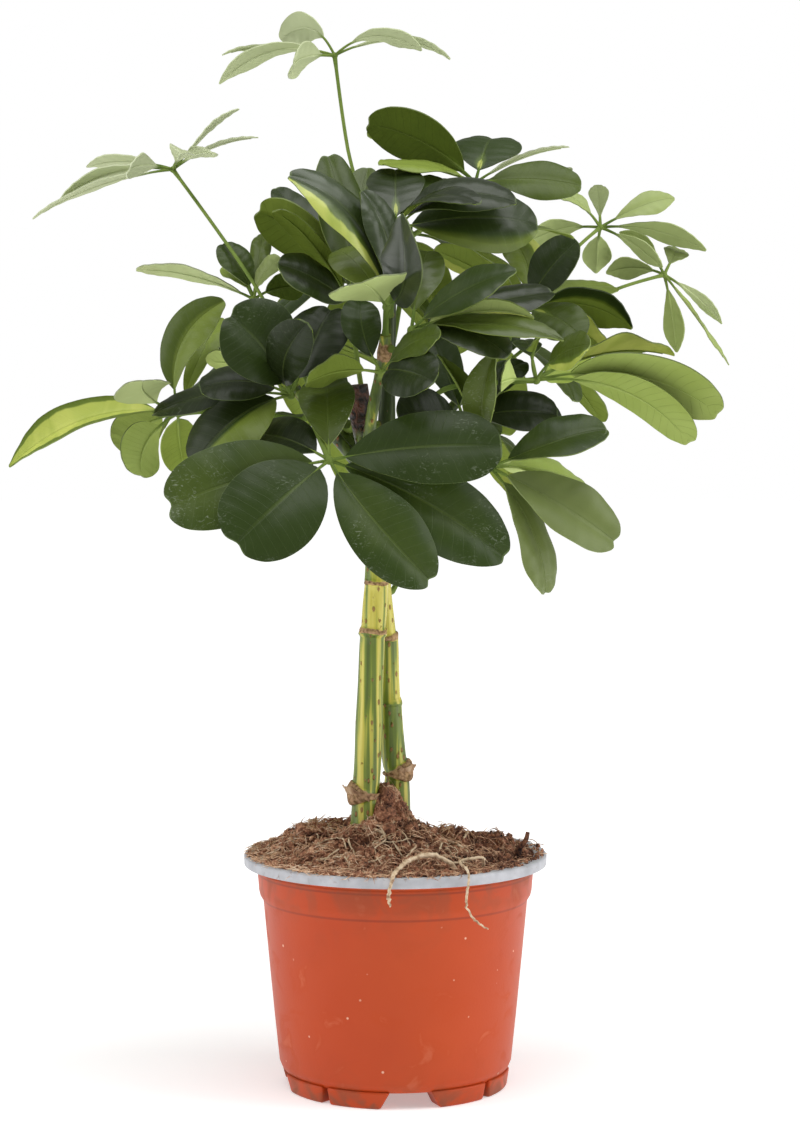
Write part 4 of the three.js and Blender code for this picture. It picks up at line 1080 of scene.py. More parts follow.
# %% Two dry collars
def collar(name, place, radius, height, out, seed):
    """A torn papery collar round a cane. out is how far and which way its lip stands off."""
    draw = np.random.default_rng(seed)
    rows, sides = 8, 36
    line = np.array([np.array(place) + (0, 0, height * (row / rows - 0.5)) for row in range(rows + 1)])
    piece = tube(name, line, radius, sides, husk)
    spots = spots_of(piece) - np.array(place)
    turn = np.arctan2(spots[:, 1], spots[:, 0])
    up = np.clip(spots[:, 2] / height + 0.5, 0, 1)
    phases = draw.uniform(0, 2 * math.pi, 4)
    tear = sum(np.sin(turn * count + phase) for count, phase in zip((2, 3, 5, 9), phases)) / 4
    facing = np.clip(np.cos(turn - math.atan2(out[1], out[0])), 0, 1) ** 1.5
    lip = facing * math.hypot(*out)
    creases = 0.05 * np.sin(turn * 11 + up * 5) + 0.04 * np.sin(turn * 17 - up * 9)
    outwards = 1 + up ** 1.6 * (0.06 + 0.1 * tear) + up * lip / radius + creases * up
    spots[:, :2] *= outwards[:, None]
    spots[:, 2] = (spots[:, 2] + height / 2) * (0.14 + 0.86 * facing) - height / 2
    spots[:, 2] += up * tear * height * 0.3
    move_to(piece, in_frame(spots + np.array(place)))
    return piece


left_place, right_place = seen(-15.3, 129, -5), seen(-0.4, 138.8, 7.5)
husk_left = collar("husk_left", left_place, radius=6.3, height=6.0, out=(-2.2, -0.9), seed=3)
husk_right = collar("husk_right", right_place, radius=5.8, height=5.6, out=(1.9, -0.9), seed=5)
dress(husk_left, "cane")
dress(husk_right, "cane")

# %% [markdown]
# ## Roots
# A thick and a thin root hang over the rim, and more lie on the soil. Each is a tube along a line with small
# kinks, thinning towards its tip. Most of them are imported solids; some fine ones are added here.

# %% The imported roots
HANGING_ROOTS = {
    "root_thick": (1.0, [
        (28, -46, 95), (23, -48, 103.5), (16, -48, 107.2), (9, -51, 107), (4, -56, 105.2),
        (1, -61, 103.2), (-0.7, -65.8, 101.9), (-1.9, -67.6, 97.5), (-2.8, -67, 92.5), (-2, -66.6, 89),
    ]),
    "root_thin": (0.6, [
        (36, -37, 97), (37, -42.5, 103.5), (36, -47, 106), (31, -47, 105.5), (27, -47, 104.5),
        (27.4, -52, 103.8), (29.6, -57.9, 103), (30.2, -61.8, 98.4), (29.2, -61.2, 92), (29.8, -60.2, 87),
        (32.5, -58, 82.4), (35.5, -56.2, 79.4), (38.4, -54.8, 77.4),
    ]),
}
LYING_ROOTS = {
    "root_left_arch": (0.8, [(-27, -6), (-19, -11), (-11, -13), (-4, -17), (1, -27), (4, -34)]),
    "root_left_low": (0.7, [(-41, -38), (-35, -36), (-28, -33), (-22, -29)]),
    "root_right_arch": (0.7, [(17, -6), (24, -9), (30, -14), (32, -24)]),
}
FINE_ROOTS = {
    "fine_root_1": (0.35, [(-16, -9), (-20, -20), (-17, -30), (-20, -41), (-14, -49)]),
    "fine_root_2": (0.4, [(-9, -8), (-4, -22), (-9, -34), (-3, -45)]),
    "fine_root_3": (0.3, [(8, -9), (14, -20), (11, -31), (17, -42), (24, -50)]),
    "fine_root_4": (0.4, [(4, -14), (9, -26), (3, -38), (7, -50)]),
    "fine_root_5": (0.3, [(-30, -18), (-24, -27), (-30, -36), (-24, -45)]),
    "fine_root_6": (0.35, [(22, -12), (27, -22), (38, -27), (42, -38)]),
    "fine_root_7": (0.3, [(-7, 12), (2, 24), (-4, 36), (4, 46)]),
    "fine_root_8": (0.35, [(12, 12), (24, 20), (30, 32), (42, 34)]),
    "fine_root_9": (0.3, [(-18, 10), (-30, 16), (-34, 28), (-44, 26)]),
}
ROOT_STEPS = 6
ROOT_SUNK = -3


def root_line(points):
    """A line through the points, with small kinks between them."""
    line = smooth_line(points, ROOT_STEPS)
    kinks = rng.normal(0, 0.16, line.shape)
    kinks[0] = kinks[-1] = 0
    return line + kinks


def on_soil(route, lift):
    """A route along the top of the soil that starts and ends in it."""
    lifts = [ROOT_SUNK] + [lift] * (len(route) - 2) + [ROOT_SUNK]
    return [(x, y, float(soil_height(x, y)) + up) for (x, y), up in zip(route, lifts)]


def root_piece(name, points, radius, nodes):
    line = root_line(points)
    share = np.linspace(0, 1, len(line))
    radii = radius * (1.05 - 0.45 * share ** 2) * (1 + 0.12 * np.sin(share * 31))
    radii[-1] = radius * 0.3
    return dress(tube(name, line, radii, 8, root), "root", *nodes)


for name, (radius, points) in HANGING_ROOTS.items():
    root_piece(f"{name}_bark", points, radius, [name])
for name, (radius, route) in LYING_ROOTS.items():
    root_piece(f"{name}_bark", on_soil(route, 0.4), radius, [name])
for name, (radius, route) in FINE_ROOTS.items():
    root_piece(name, on_soil(route, 0.9), radius, [])

# %% Thin roots that wander over the soil
WANDERING_ROOTS = 18
WANDER_STEPS, WANDER_STEP = 7, 4.2
WANDER_REACH = 54

for number in range(WANDERING_ROOTS):
    spot = np.array([rng.uniform(-40, 40), rng.uniform(-44, 2)])
    heading = rng.uniform(0, 2 * math.pi)
    turning = rng.uniform(-0.25, 0.25)
    route = []
    for step in range(WANDER_STEPS):
        if math.hypot(*spot) > WANDER_REACH:
            break
        route.append(tuple(spot))
        spot = spot + WANDER_STEP * np.array([math.cos(heading), math.sin(heading)])
        heading += turning + rng.normal(0, 0.45)
    if len(route) > 3:
        root_piece(f"wandering_root_{number + 1}", on_soil(route, 1.0), rng.uniform(0.22, 0.45), [])

# %% A twig on the soil
TWIG = [(52, -14, 100), (53, -15, 105), (55.5, -16, 108), (56.5, -15, 111.5)]

twig_line = smooth_line(TWIG, 4)
dress(tube("twig", twig_line, np.linspace(1.6, 0.9, len(twig_line)), 8, peat), "soil")

# %% [markdown]
# ## One leaflet
# Every leaflet starts from the same flat blade. A grid is given its obovate outline row by row: each row is
# moved along and resized, so the blade is narrow at its stalk, widest past its middle and round at its tip.
# Solidify then gives it a lower face and a rim, each with a finish of its own.

# %% The flat blade
ROWS, COLUMNS = 28, 14
CUT = 0.985
NARROWEST = 0.05
TO_ONE = 2.211
# Rows that are done wait this far away, so that none is taken twice
ASIDE = 10


def outline_width(share):
    """Half the width of the blade at a share of its length, where 1 is its widest."""
    return TO_ONE * share ** 0.75 * (1 - share) ** 0.45


bpy.ops.mesh.primitive_grid_add(x_subdivisions=COLUMNS, y_subdivisions=ROWS, size=2)
blade = bpy.context.object
blade.name = "flat_blade"
blade.data.uv_layers[0].name = "surface"
bpy.ops.object.mode_set(mode="EDIT")
bpy.ops.mesh.select_mode(type="VERT")
for number in range(ROWS + 1):
    level = 2 * number / ROWS - 1
    bpy.ops.mesh.select_all(action="DESELECT")
    shaping = bmesh.from_edit_mesh(blade.data)
    for point in shaping.verts:
        point.select = abs(point.co.y - level) < 1e-4
    shaping.select_flush_mode()
    bmesh.update_edit_mesh(blade.data)
    share = CUT * (1 - (1 - number / ROWS) ** 1.5)
    width = max(NARROWEST, outline_width(share))
    bpy.ops.transform.resize(value=(width, 1, 1), center_override=(0, 0, 0))
    bpy.ops.transform.translate(value=(0, ASIDE + share - level, 0))
bpy.ops.mesh.select_all(action="SELECT")
bpy.ops.transform.translate(value=(0, -ASIDE, 0))
bpy.ops.object.mode_set(mode="OBJECT")

# %% The round end, the map and the thickness
ROUND_FROM = 0.72

outline = places_of(blade)
half_widths = np.array([max(NARROWEST, outline_width(min(CUT, share))) for share in outline[:, 1]])
across_share = np.clip(outline[:, 0] / half_widths, -1, 1)
even = np.sin(across_share * math.pi / 2)
rounded = np.clip((outline[:, 1] - ROUND_FROM) / (CUT - ROUND_FROM), 0, 1) ** 3
outline[:, 0] = even * half_widths
outline[:, 1] += (1 - CUT) * rounded * np.sqrt(np.clip(1 - even ** 2, 0, 1))
move_to(blade, outline)
add_mark(blade, "rim", (np.abs(even) > 0.999) | (outline[:, 1] >= CUT - 1e-4))
mapped = blade.data.uv_layers["surface"].data
for loop in blade.data.loops:
    point = loop.vertex_index
    mapped[loop.index].uv = (0.5 + 0.5 * even[point], outline[point, 1])
for finish in LEAF_FINISHES:
    blade.data.materials.append(finish)
apply_modifier(blade, "SOLIDIFY", thickness=1.0, offset=0.0, material_offset=1, material_offset_rim=2,
               use_even_offset=False)
shade_smooth(blade, 60)
print("flat blade, faces:", len(blade.data.polygons))

# %% [markdown]
# The stalk of a leaflet runs on under its blade as the raised rib, so stalk and rib are one tube that thins
# towards the tip. It is made straight here, one unit long and one thick, and bent later with its blade.

# %% The straight rib
RIB_ROWS, RIB_SIDES = 18, 8
THIN = 0.02

rib = tube("straight_rib", [(0, row / RIB_ROWS, 0) for row in range(RIB_ROWS + 1)], THIN, RIB_SIDES, stalk)
move_to(rib, spots_of(rib) / (THIN, 1, THIN))

# %% [markdown]
# ## Where each leaflet goes
# The rows below are the plant's own plan, leaf by leaf. A leaf has the stem that carries it, how far along
# the stem it stands, the places that its stalk passes, its hub, its reach and the length of its leaflets'
# stalks, and then its leaflets. A leaflet has the x and z of its tip as seen, the share of its unseen length
# that points away from the eye, its width, how far its upper face turns to the eye, how much its middle
# arches up and how light the face is that we see. That lightness is the leaflet's own colour, and for
# leaflets deep in the crown it is also painted shade, darker than their colour alone. Numbers that a row
# leaves out are 0: its sweep sideways, its notch, how much of its width is yellow from one margin (the sign
# says which), and how much about its rib (- for the stalk's end only).

# %% The plan of the leaves
LEAF = ("name", "stem", "at", "via", "hub", "reach", "stalk", "folded", "leaflets")
LEAFLET = ("x", "z", "away", "width", "face", "bow", "tone", "sweep", "notch", "yellow", "core")
LEAVES = [
    ("leaf_front", "shoot_left", 0.93, [(-38, 296, -36)], (-28, 272, -60), 80, 7, True, [
        (-70, 236, -0.4, 40, 0.72, 5, 0.22, 1, 2), (-99, 253, -0.2, 35, 0.72, 5, 0.32, 0, 2.5),
        (16, 219, -0.3, 33, 0.72, 5, 0.28, -4, 2), (47, 229, 0, 36, 0.72, 5, 0.27, 2, 1),
        (46, 277, 0, 34, 0.69, 5, 0.2), (-29, 307, 0.5, 24, 0.11, 4, 0.38),
        (-65, 284, 0.4, 30, 0.36, 4, -0.1),
    ]),
    ("leaf_front_right", "cane_left", 0.83, [(18, 269, -28)], (41, 268, -42), 62, 8, True, [
        (91, 285, 0, 27, 0.46, 3, 0.28, -2), (95, 235, -0.2, 30, 0.64, 4, 0.48, -1, 1.5),
        (65, 213, -0.1, 24, 0.42, 5, 0.5, 1, 1), (84, 258, 0.6, 24, 0.28, 4, 0.82),
        (70, 262, 0.9, 20, -0.22, 4, 0.95), (45, 320, -0.3, 17, 0.69, 4, 0.44, -3),
        (19, 317, 0.3, 12, 0.44, 4, 0.48),
    ]),
    ("leaf_left_mid", "shoot_left", 1, [], (-44, 300, -28), 58, 8, True, [
        (-70, 336, -0.5, 38, 0.72, 5, 0.16, 0, 2), (-37, 330, -0.7, 20, 0.86, 4, -0.04, -4),
        (-26, 338, 0.1, 29, 0.64, 4, -0.1, 2, 1.5), (-83, 304, -0.3, 25, 0.42, 5, -0.1),
        (-86, 271, -0.5, 35, 0.5, 8, 0.02), (-103, 293, 0.3, 24, 0.29, 5, 0),
        (-79, 316, 0.7, 18, -0.39, 4, 0.98),
    ]),
    ("leaf_centre", "shoot_centre", 1, [], (-2.5, 337, -32), 68, 7, True, [
        (-43, 395, -0.1, 28, 0.5, 5, 0.2, 10, 1, -0.18), (-12, 387, 0.1, 20, 0.42, 4, 0.16, 4),
        (3, 376, -0.4, 28, 0.72, 4, 0.08, 13), (-23, 363, 0.4, 20, 0.5, 4, 0.54),
        (-13, 347, -0.6, 33, -0.36, 3, 0.95),
    ]),
    ("leaf_centre_right", "shoot_centre", 0.86, [], (8, 327, -35), 68, 8, False, [
        (61, 333, -0.4, 23, -0.36, 5, 1, 0, 0, -0.45), (73, 322, -0.2, 20, 0.26, 5, 0.4),
        (53, 352, -0.1, 27, 0.47, 4, 0.26), (68, 342, 0.6, 24, 0.42, 3, 0.04),
        (50, 317, -0.3, 24, 0.3, 5, 0.08), (15, 361, 0.3, 20, 0.5, 4, 0.38),
    ]),
    ("leaf_centre_low", "shoot_centre", 0.5, [], (-5, 309, -42), 54, 7, False, [
        (-13, 341, 0.2, 17, 0.67, 3, 0.15, -4), (-37, 305, -0.2, 22, -0.42, 4, 0.6),
        (17, 305, -0.6, 24, 0.61, 4, 0.04), (20, 326, 0.5, 18, 0.44, 3, 0.36),
    ]),
    ("leaf_right", "shoot_right", 0.28, [(19, 300, 4), (30, 303, -2)], (61, 305, -8), 74, 14, False, [
        (140, 290, -0.3, 31, -0.53, 7, 0.84, 6, 1), (127, 277, 0.2, 21, -0.47, 4, 0.84, 10, 1),
        (120, 316, 0.6, 26, -0.22, 6, 0.48, 0, 0, 0.7, -1), (83, 321, -0.4, 20, 0.5, 3, 0.42, 0, 0, 0.15),
        (56, 324, 0.4, 13, 0.22, 3, 0.28), (63, 323, -0.2, 13, 0.28, 3, 0.22),
        (84, 311, 0.7, 18, -0.6, 4, 0.78), (44, 301, -0.6, 25, -0.66, 5, 1.05),
    ]),
    ("leaf_left", "shoot_left", 0.72, [(-64, 294, -4)], (-92, 293, -6), 60, 9, True, [
        (-165, 271, 0, 21, 0.42, 5, 0.5, 9, 0, 0, 0.7), (-107, 308, -0.4, 27, -0.64, 4, 0.86, -6),
        (-110, 266, -0.2, 26, -0.64, 4, 0.86, -3), (-119, 279, 0.2, 22, -0.5, 4, 0.82),
        (-72, 341, 0.2, 23, 0.53, 4, 0.5, -9), (-73, 333, 0.6, 12, 0.33, 3, 0.66),
        (-90, 268, 0.8, 18, 0.11, 4, 0.66),
    ]),
    ("leaf_upper_mid", "cane_right", 0.93, [], (2, 370, -6), 60, 7, False, [
        (53, 380, -0.3, 27, 0.44, 11, 0.06), (63, 372, 0.1, 34, 0.58, 6, 0.14, -1),
        (2, 396, 0.6, 26, 0.06, 3, 0.08, 0, 1.5, 0, -0.3), (38, 381, -0.6, 18, 0.25, 8, 0),
        (22, 391, 0.6, 20, 0.22, 4, 0.2), (78, 366, 0.3, 13, 0.11, 5, 0.5),
    ]),
    ("leaf_left_back", "shoot_left", 0.55, [(-42, 318, 8)], (-59, 341, 24), 46, 6, False, [
        (-109, 355, 0, 15, -0.3, 4, 0.95, -1), (-72, 365, -0.3, 16, 0.56, 3, 0.32),
        (-70, 356, 0.4, 13, 0.39, 3, 0.72), (-47, 358, -0.1, 14, 0.5, 3, 0.6),
        (-54, 370, 0.6, 9, 0.33, 3, 0.42), (-37, 346, 0.1, 20, -0.39, 3, 0.34),
        (-62, 328, 0.9, 16, 0.11, 3, 0.5, 0, 0, 0.3),
    ]),
    ("leaf_upper_left", "shoot_left", 0.82, [(-55, 341, 8), (-71, 366, 26)],
     (-92.5, 396.5, 56), 56, 9, False, [
        (-153, 377, -0.1, 15, -0.11, 4, 0.86), (-141, 385, 0.3, 15, -0.27, 6, 0.86),
        (-129, 399, 0.6, 13, -0.33, 3, 0.82), (-112, 397, -0.6, 15, -0.6, 3, 0.88),
        (-88, 405, -0.9, 13, -0.33, 3, 0.84), (-65, 423, 0.1, 12, -0.2, 1, 0.8),
        (-74, 404, -0.6, 13, -0.28, 3, 0.84), (-56, 410, 0.3, 12, -0.2, 3, 0.8),
    ]),
    ("leaf_upper_centre", "cane_right", 0.82, [], (-18, 339, 8), 64, 7, False, [
        (-57, 380, 0, 29, -0.53, 4, 0.44, 3, 1.5, 0, -0.4), (-49, 380, -0.5, 15, -0.3, 4, 0.5),
        (-27, 402, 0.2, 27, 0.7, 4, 0.34, 0, 1), (-10, 396, 0.5, 20, 0.39, 4, 0.4),
        (-49, 388, 0.4, 18, 0.4, 4, 0.14), (-48, 357, 0.4, 32, 0.56, 4, 0.04, -3),
    ]),
    ("leaf_right_back", "shoot_right", 1, [(50, 324, 26)], (57, 335, 30), 54, 7, False, [
        (79, 364, -0.4, 23, 0.72, 4, 0.12), (50, 367, 0.3, 18, 0.44, 3, 0.5, 4, 0, 0.2),
        (103, 327, 0, 24, -0.39, 8, 0.62), (95, 344, 0.4, 20, 0.27, 4, 0.56),
        (81, 323, -0.6, 22, 0.5, 4, 0.36, 0, 0, 0, -0.4), (93, 316, 0.2, 18, -0.42, 4, 0.62, 0, 0, 0.5),
        (18, 361, -0.1, 19, -0.4, 4, 0.7, 0, 0, 0.2),
    ]),
    ("leaf_low_right", "shoot_right", 0.55, [], (30, 288, 2), 50, 7, False, [
        (70, 290, -0.1, 26, 0.53, 4, -0.04), (73, 289, 0.5, 22, 0.5, 4, 0.04),
        (56, 313, 0.3, 22, 0.33, 4, 0.14), (15, 327, 0.1, 17, 0.67, 3, 0.2), (2, 291, -0.6, 24, 0.6, 4, 0),
    ]),
    ("leaf_upper_right", "cane_right", 1, [(20, 374, 28)], (36, 389, 36), 56, 7, False, [
        (-10, 415, -0.1, 27, -0.61, 4, 0.4, 3, 1, 0, -0.3), (-9, 411, 0.4, 22, -0.28, 4, 0.7, 0, 0, 0.2),
        (-5, 397, -0.3, 18, 0.2, 3, 0.68), (44, 410, 0.5, 31, 0.3, 3, 0.24, 0, 3, 0, -0.36),
        (76, 404, 0.3, 15, -0.16, 3, 0.85), (77, 394, 0.6, 15, -0.16, 1, 0.34),
        (81, 387, -0.2, 22, 0.55, 4, 0.38, -1),
    ]),
    ("leaf_crown_top", "cane_right", 0.97, [(-12, 380, 40), (-18, 404, 56)], (-23, 443.5, 70), 52, 8, False, [
        (-45, 451, 0.4, 16, -0.66, 2, 0.62, 8), (-71, 446, 0.2, 13, -0.07, 3, 0.74),
        (-72, 432, -0.1, 14, -0.44, 4, 1.1, 8), (-42, 439, -0.7, 18, -0.55, 4, 0.8),
        (14, 445, -0.2, 12, -0.4, 3, 0.84, 8), (27, 443, 0.4, 13, -0.07, 7, 0.8),
    ]),
    ("leaf_far_right", "shoot_right", 0.9, [(60, 338, 62), (80, 362, 84)], (89, 369.5, 92), 44, 7, False, [
        (88, 388, 0.8, 11, 0.06, 2, 0.5), (121, 382, 0.2, 15, 0.64, 3, 0.7),
        (134, 359, 0, 13, -0.5, 5, 0.8, 1), (57, 363, 0, 15, -0.64, 6, 0.82),
        (70, 386, 0.3, 12, 0.38, 3, 0.74), (87, 350, 0.5, 16, 0, 3, 1), (115, 352, -0.2, 12, -0.53, 3, 0.8),
    ]),
    ("leaf_far_right_low", "shoot_right", 0.8, [(66, 326, 52), (95, 343, 78)], (116, 349, 90), 42, 6, False, [
        (98, 368, 0, 13, -0.58, 3, 0.76), (91, 351, -0.2, 14, -0.56, 4, 0.6),
        (123, 361, 0.2, 14, 0.6, 2, 0.52), (141, 328, 0, 14, -0.58, 3, 1.1),
        (121, 316, 0, 13, -0.67, 2, 0.78), (143, 310, 0.2, 9, 0.2, 1, 0.78, 1),
    ]),
]
LEAVES = [dict(zip(LEAF, row)) for row in LEAVES]

FAR_LEAF = ("name", "stem", "at", "hub", "turn", "tilt")
FAR_LEAVES = [
    ("leaf_back_left", "shoot_back", 0.9, (-52, 322, 84), 10, (-0.4, 0.5)),
    ("leaf_back_centre", "shoot_back", 1, (-16, 350, 88), 40, (0, 0.5)),
    ("leaf_back_right", "shoot_right", 0.66, (46, 322, 76), 25, (0.4, 0.5)),
    ("leaf_back_low", "shoot_back", 0.5, (-34, 288, 70), 0, (-0.2, 0.7)),
    ("leaf_low_back", "cane_right", 0.66, (24, 288, 60), 50, (0.2, 0.6)),
    ("leaf_back_top", "cane_right", 0.9, (8, 368, 58), 15, (0.1, 0.4)),
]
FAR_LEAVES = [dict(zip(FAR_LEAF, row)) for row in FAR_LEAVES]

# How waxy the leaflets of the young leaves are, and how glossy and how dusty those of some others are
YOUNG_LEAVES = {
    "leaf_crown_top": 0.6, "leaf_upper_left": 0.75, "leaf_far_right": 0.25, "leaf_far_right_low": 0.15,
}
GLOSSY_LEAVES = {
    "leaf_centre": 0.9, "leaf_upper_mid": 0.5, "leaf_centre_right": 0.5, "leaf_upper_centre": 0.4,
}
DUSTY_LEAVES = {"leaf_front": 1.0, "leaf_front_right": 0.75, "leaf_left_mid": 0.4, "leaf_right": 0.6}

# %% Leaflets with a shape of their own
# By their order in the leaf: how each half is folded up at the rib and bends down to its margin, how much
# its end and its base narrow (point, wedge), how slim it is, its waves and curl, how much lighter each half
# is and from which share of its width (halves, halves_from), and its wax (bloom)
OWN_SHAPES = {
    "leaf_front": {
        0: {"folds": (0.2, 0.25), "bends": (-0.5, -0.5), "wedge": -0.2, "point": 0},
        1: {"folds": (0.3, 0.2), "bends": (-0.5, -0.4), "wedge": -0.2, "point": 0},
        4: {"folds": (0.25, 0.15), "bends": (-0.5, -0.5), "point": 0},
        6: {"folds": (0.2, 0.3), "bends": (-0.6, -0.6), "wedge": -0.1},
    },
    "leaf_front_right": {
        1: {"bloom": 0.12},
        2: {"bloom": 0.1},
        4: {"bloom": 0.15},
        5: {"folds": (0.9, 0.4), "bends": (-0.5, -0.6), "point": 0.85, "wedge": -0.1},
        6: {"folds": (1.1, 0.9), "bends": (-0.4, -0.4), "point": 0.8},
    },
    "leaf_centre": {
        0: {"folds": (0.5, 0.5), "bends": (-1.1, -1.3), "wave": 0.4, "curl": 3, "point": 0.4},
        1: {"folds": (0.6, 0.5), "bends": (-1.2, -1.2), "wave": 0.3, "point": 0.5},
        2: {"folds": (0.5, 0.3), "bends": (-0.6, -0.2), "wave": 0.8, "point": 0.3},
        4: {"folds": (0.2, 0.2), "bends": (-0.4, -0.4), "bloom": 0.15},
    },
    "leaf_centre_right": {
        0: {"point": 0.75, "folds": (0.2, 0.3), "bends": (0.3, -0.8)},
        1: {"point": 0.85},
        2: {"point": 0.6, "folds": (0.15, 0.4), "bends": (-0.5, -0.7)},
        3: {"folds": (0.6, 0.5), "bends": (-1.3, -0.9)},
    },
    "leaf_left": {
        0: {"folds": (0.5, 0.3), "bends": (-0.3, 0.5), "point": 0.85, "curl": 0},
        1: {"folds": (0.1, 0.3), "bends": (-0.5, -0.9), "bloom": 0.3, "wedge": 0.4},
        4: {"folds": (0.5, 0.4), "bends": (-0.9, -0.6), "halves": (-0.12, 0.06), "point": 0.4,
            "wedge": 0.1},
    },
    "leaf_left_mid": {
        4: {"folds": (0.35, 0.15), "bends": (-0.7, -0.7), "halves": (0.55, 0), "point": 0.1},
    },
    "leaf_left_back": {
        0: {"bloom": 0.4, "point": 0.3, "wedge": 0.4},
        3: {"bloom": 0.2},
    },
    "leaf_right": {
        0: {"point": 0.1, "wedge": -0.1},
        2: {"folds": (0.6, 0.6), "bends": (-0.8, -0.9), "point": 0.6, "wave": 2.4, "waves": 2.2},
    },
    "leaf_right_back": {
        2: {"point": 0.85, "folds": (0.2, 0.5), "bends": (-0.6, -0.9), "halves": (0, -0.5),
            "halves_from": 0.4},
        5: {"point": 0.6, "wave": 2},
    },
    "leaf_upper_centre": {
        0: {"halves": (0.15, 0)},
        5: {"halves": (0.2, 0), "halves_from": 0.7, "folds": (0.6, 0.2)},
    },
    "leaf_upper_mid": {
        0: {"folds": (0.5, 0.6), "bends": (-1.0, -1.2)},
        1: {"folds": (0.3, 0.3), "bends": (-0.7, -1.3), "halves": (0, 0.42), "halves_from": 0.62},
    },
    "leaf_crown_top": {
        0: {"point": 0.3, "wedge": 0.2},
        3: {"point": 0.2, "wedge": 0},
    },
    "leaf_upper_left": {
        5: {"slim": 0.5},
        7: {"slim": 0.6},
    },
    "leaf_far_right_low": {
        3: {"slim": 0.6, "bloom": 0.5},
    },
    "leaf_upper_right": {
        4: {"bloom": 0.6, "point": 0.6, "wedge": 0.5, "slim": 0.7},
        5: {"bloom": 0.3},
        3: {"folds": (0.15, 0.15), "bends": (-0.5, -0.5), "wedge": 0.0, "point": 0},
    },
}

YOUNG_SHAPE = {"point": 0.7, "wedge": 0.55}

# %% The tips of the leaflets
FAR_LEAFLETS = 6
FAR_REACH = 54
FAR_LEAFLET = dict.fromkeys(LEAFLET, 0) | {"width": 22, "bow": 6, "notch": 1, "stalk": 8, "folded": True}


def planned(leaf, hub):
    """The leaflets of a leaf, each with its tip in millimetres from the pot's axis."""
    rows = []
    for numbers in leaf["leaflets"]:
        row = dict.fromkeys(LEAFLET, 0)
        row.update(zip(LEAFLET, numbers))
        level = seen(row["x"], row["z"], leaf["hub"][2])
        unseen = math.sqrt(max(0.0, leaf["reach"] ** 2 - (level - hub).length ** 2))
        row.update(tip=further(level, row["away"] * unseen), stalk=leaf["stalk"], folded=leaf["folded"])
        rows.append(row)
    return rows


def far_planned(leaf, hub):
    """The even whorl of a leaf on the far side of the crown."""
    rows = []
    for order in range(FAR_LEAFLETS):
        turn = math.radians(leaf["turn"] + 360 / FAR_LEAFLETS * order)
        reach = FAR_REACH * (1 - 0.12 * (order % 3))
        level = Vector((math.cos(turn), math.sin(turn), 0))
        tilt = 0.5 * (level.x * leaf["tilt"][0] + level.y * leaf["tilt"][1])
        tip = hub + level * reach
        tip.z -= reach * (0.4 + 0.25 * (order % 2) + tilt)
        rows.append(dict(FAR_LEAFLET, tip=tip, tone=0.24 + 0.05 * (order % 3)))
    return rows


def leaflet_frame(hub, tip, face):
    """The way along a leaflet, the way that its upper face looks, and the way to its right or up."""
    along = (tip - hub).normalized()
    up = (Vector((0, 0, 1)) - along * along.z).normalized()
    to_eye = Vector((0, -1.0 if face >= 0 else 1.0, 0))
    to_eye = (to_eye - along * to_eye.dot(along)).normalized()
    turn = up.angle(to_eye) * math.copysign(1, up.cross(to_eye).dot(along))
    up = Matrix.Rotation(turn * abs(face), 3, along) @ up
    side = along.cross(up)
    if side.x + side.z / 2 < 0:
        side.negate()
    return along, up, side

# %% [markdown]
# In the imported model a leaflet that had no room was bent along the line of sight, in steps, until it had. The
# list of bends is short, so each one is tried here: the right one puts the corners of the blade's end on
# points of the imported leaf.

# %% The line of a leaflet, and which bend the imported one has
BEND_STEP = 5
BEND_STEPS = 20
END_SHARE = 0.975
FOLD = 0.1
PACKED_HALF = 0.4


def bends():
    yield 0
    for index in range(1, BEND_STEPS + 1):
        yield BEND_STEP * math.ceil(index / 2) * (1 if index % 2 else -1)


def arched(shares, hub, tip, row):
    """The arched line of a leaflet at some shares of its blade: how far along the whole leaflet each one
    is, its place, and the ways forward, across and over there."""
    along, up, side = (np.array(way) for way in leaflet_frame(hub, tip, row["face"]))
    length = (tip - hub).length
    place = 1 - (1 - row["stalk"] / length) * (1 - shares)
    lift = (4 * place * (1 - place))[:, None]
    slope = (4 * (1 - 2 * place))[:, None]
    arch = up * row["bow"] + side * row["sweep"]
    centre = np.array(hub) + along * length * place[:, None] + arch * lift
    forward = along * length + arch * slope
    forward /= np.linalg.norm(forward, axis=1, keepdims=True)
    across = np.cross(forward, up)
    across /= np.linalg.norm(across, axis=1, keepdims=True)
    return place, centre, forward, across, np.cross(across, forward)


def end_corners(hub, tip, row):
    """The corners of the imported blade's last section."""
    _, centre, _, across, over = arched(np.array([END_SHARE]), hub, tip, row)
    half = row["width"] / 2 * outline_width(END_SHARE)
    fold = FOLD * half if row["folded"] else 0
    lifts = (fold - PACKED_HALF, fold + PACKED_HALF)
    return [centre[0] + across[0] * half * way + over[0] * lift for way in (-1, 1) for lift in lifts]


def packed_tip(hub, row, points):
    """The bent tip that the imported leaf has, and how far its corners are from that leaf's points."""
    best = None
    for bend in bends():
        tip = further(row["tip"], bend)
        corners = [in_frame(corner) for corner in end_corners(hub, tip, row)]
        miss = sum(points.find(corner)[2] for corner in corners) / len(corners) / MM
        if best is None or miss < best[1]:
            best = (tip, miss)
    return best

# %% [markdown]
# ## Bending a blade to its place
# The blade's points are carried from its flat map to the leaflet's arched line. Across, a leaflet is shaped
# like the wings of a gull: it is folded up at the rib, and each half rolls down again to its margin. That is
# what gives it its soft bands of sheen. On the way each blade also gets what no two leaflets share: its own
# fold and roll, a twist, waves along its margins and a curled tip. The draws are seeded.

# %% Bend one leaflet
BLADE_THICKNESS = 0.55
CURL_START = 0.62
PUCKER = 0.16
PUCKERS = 8
NOTCH_WIDTH = 0.2
STALK_RADIUS = 0.85
RIB_END = 0.9
flat_places_of_blade = places_of(blade)
flat_places_of_rib = places_of(rib)


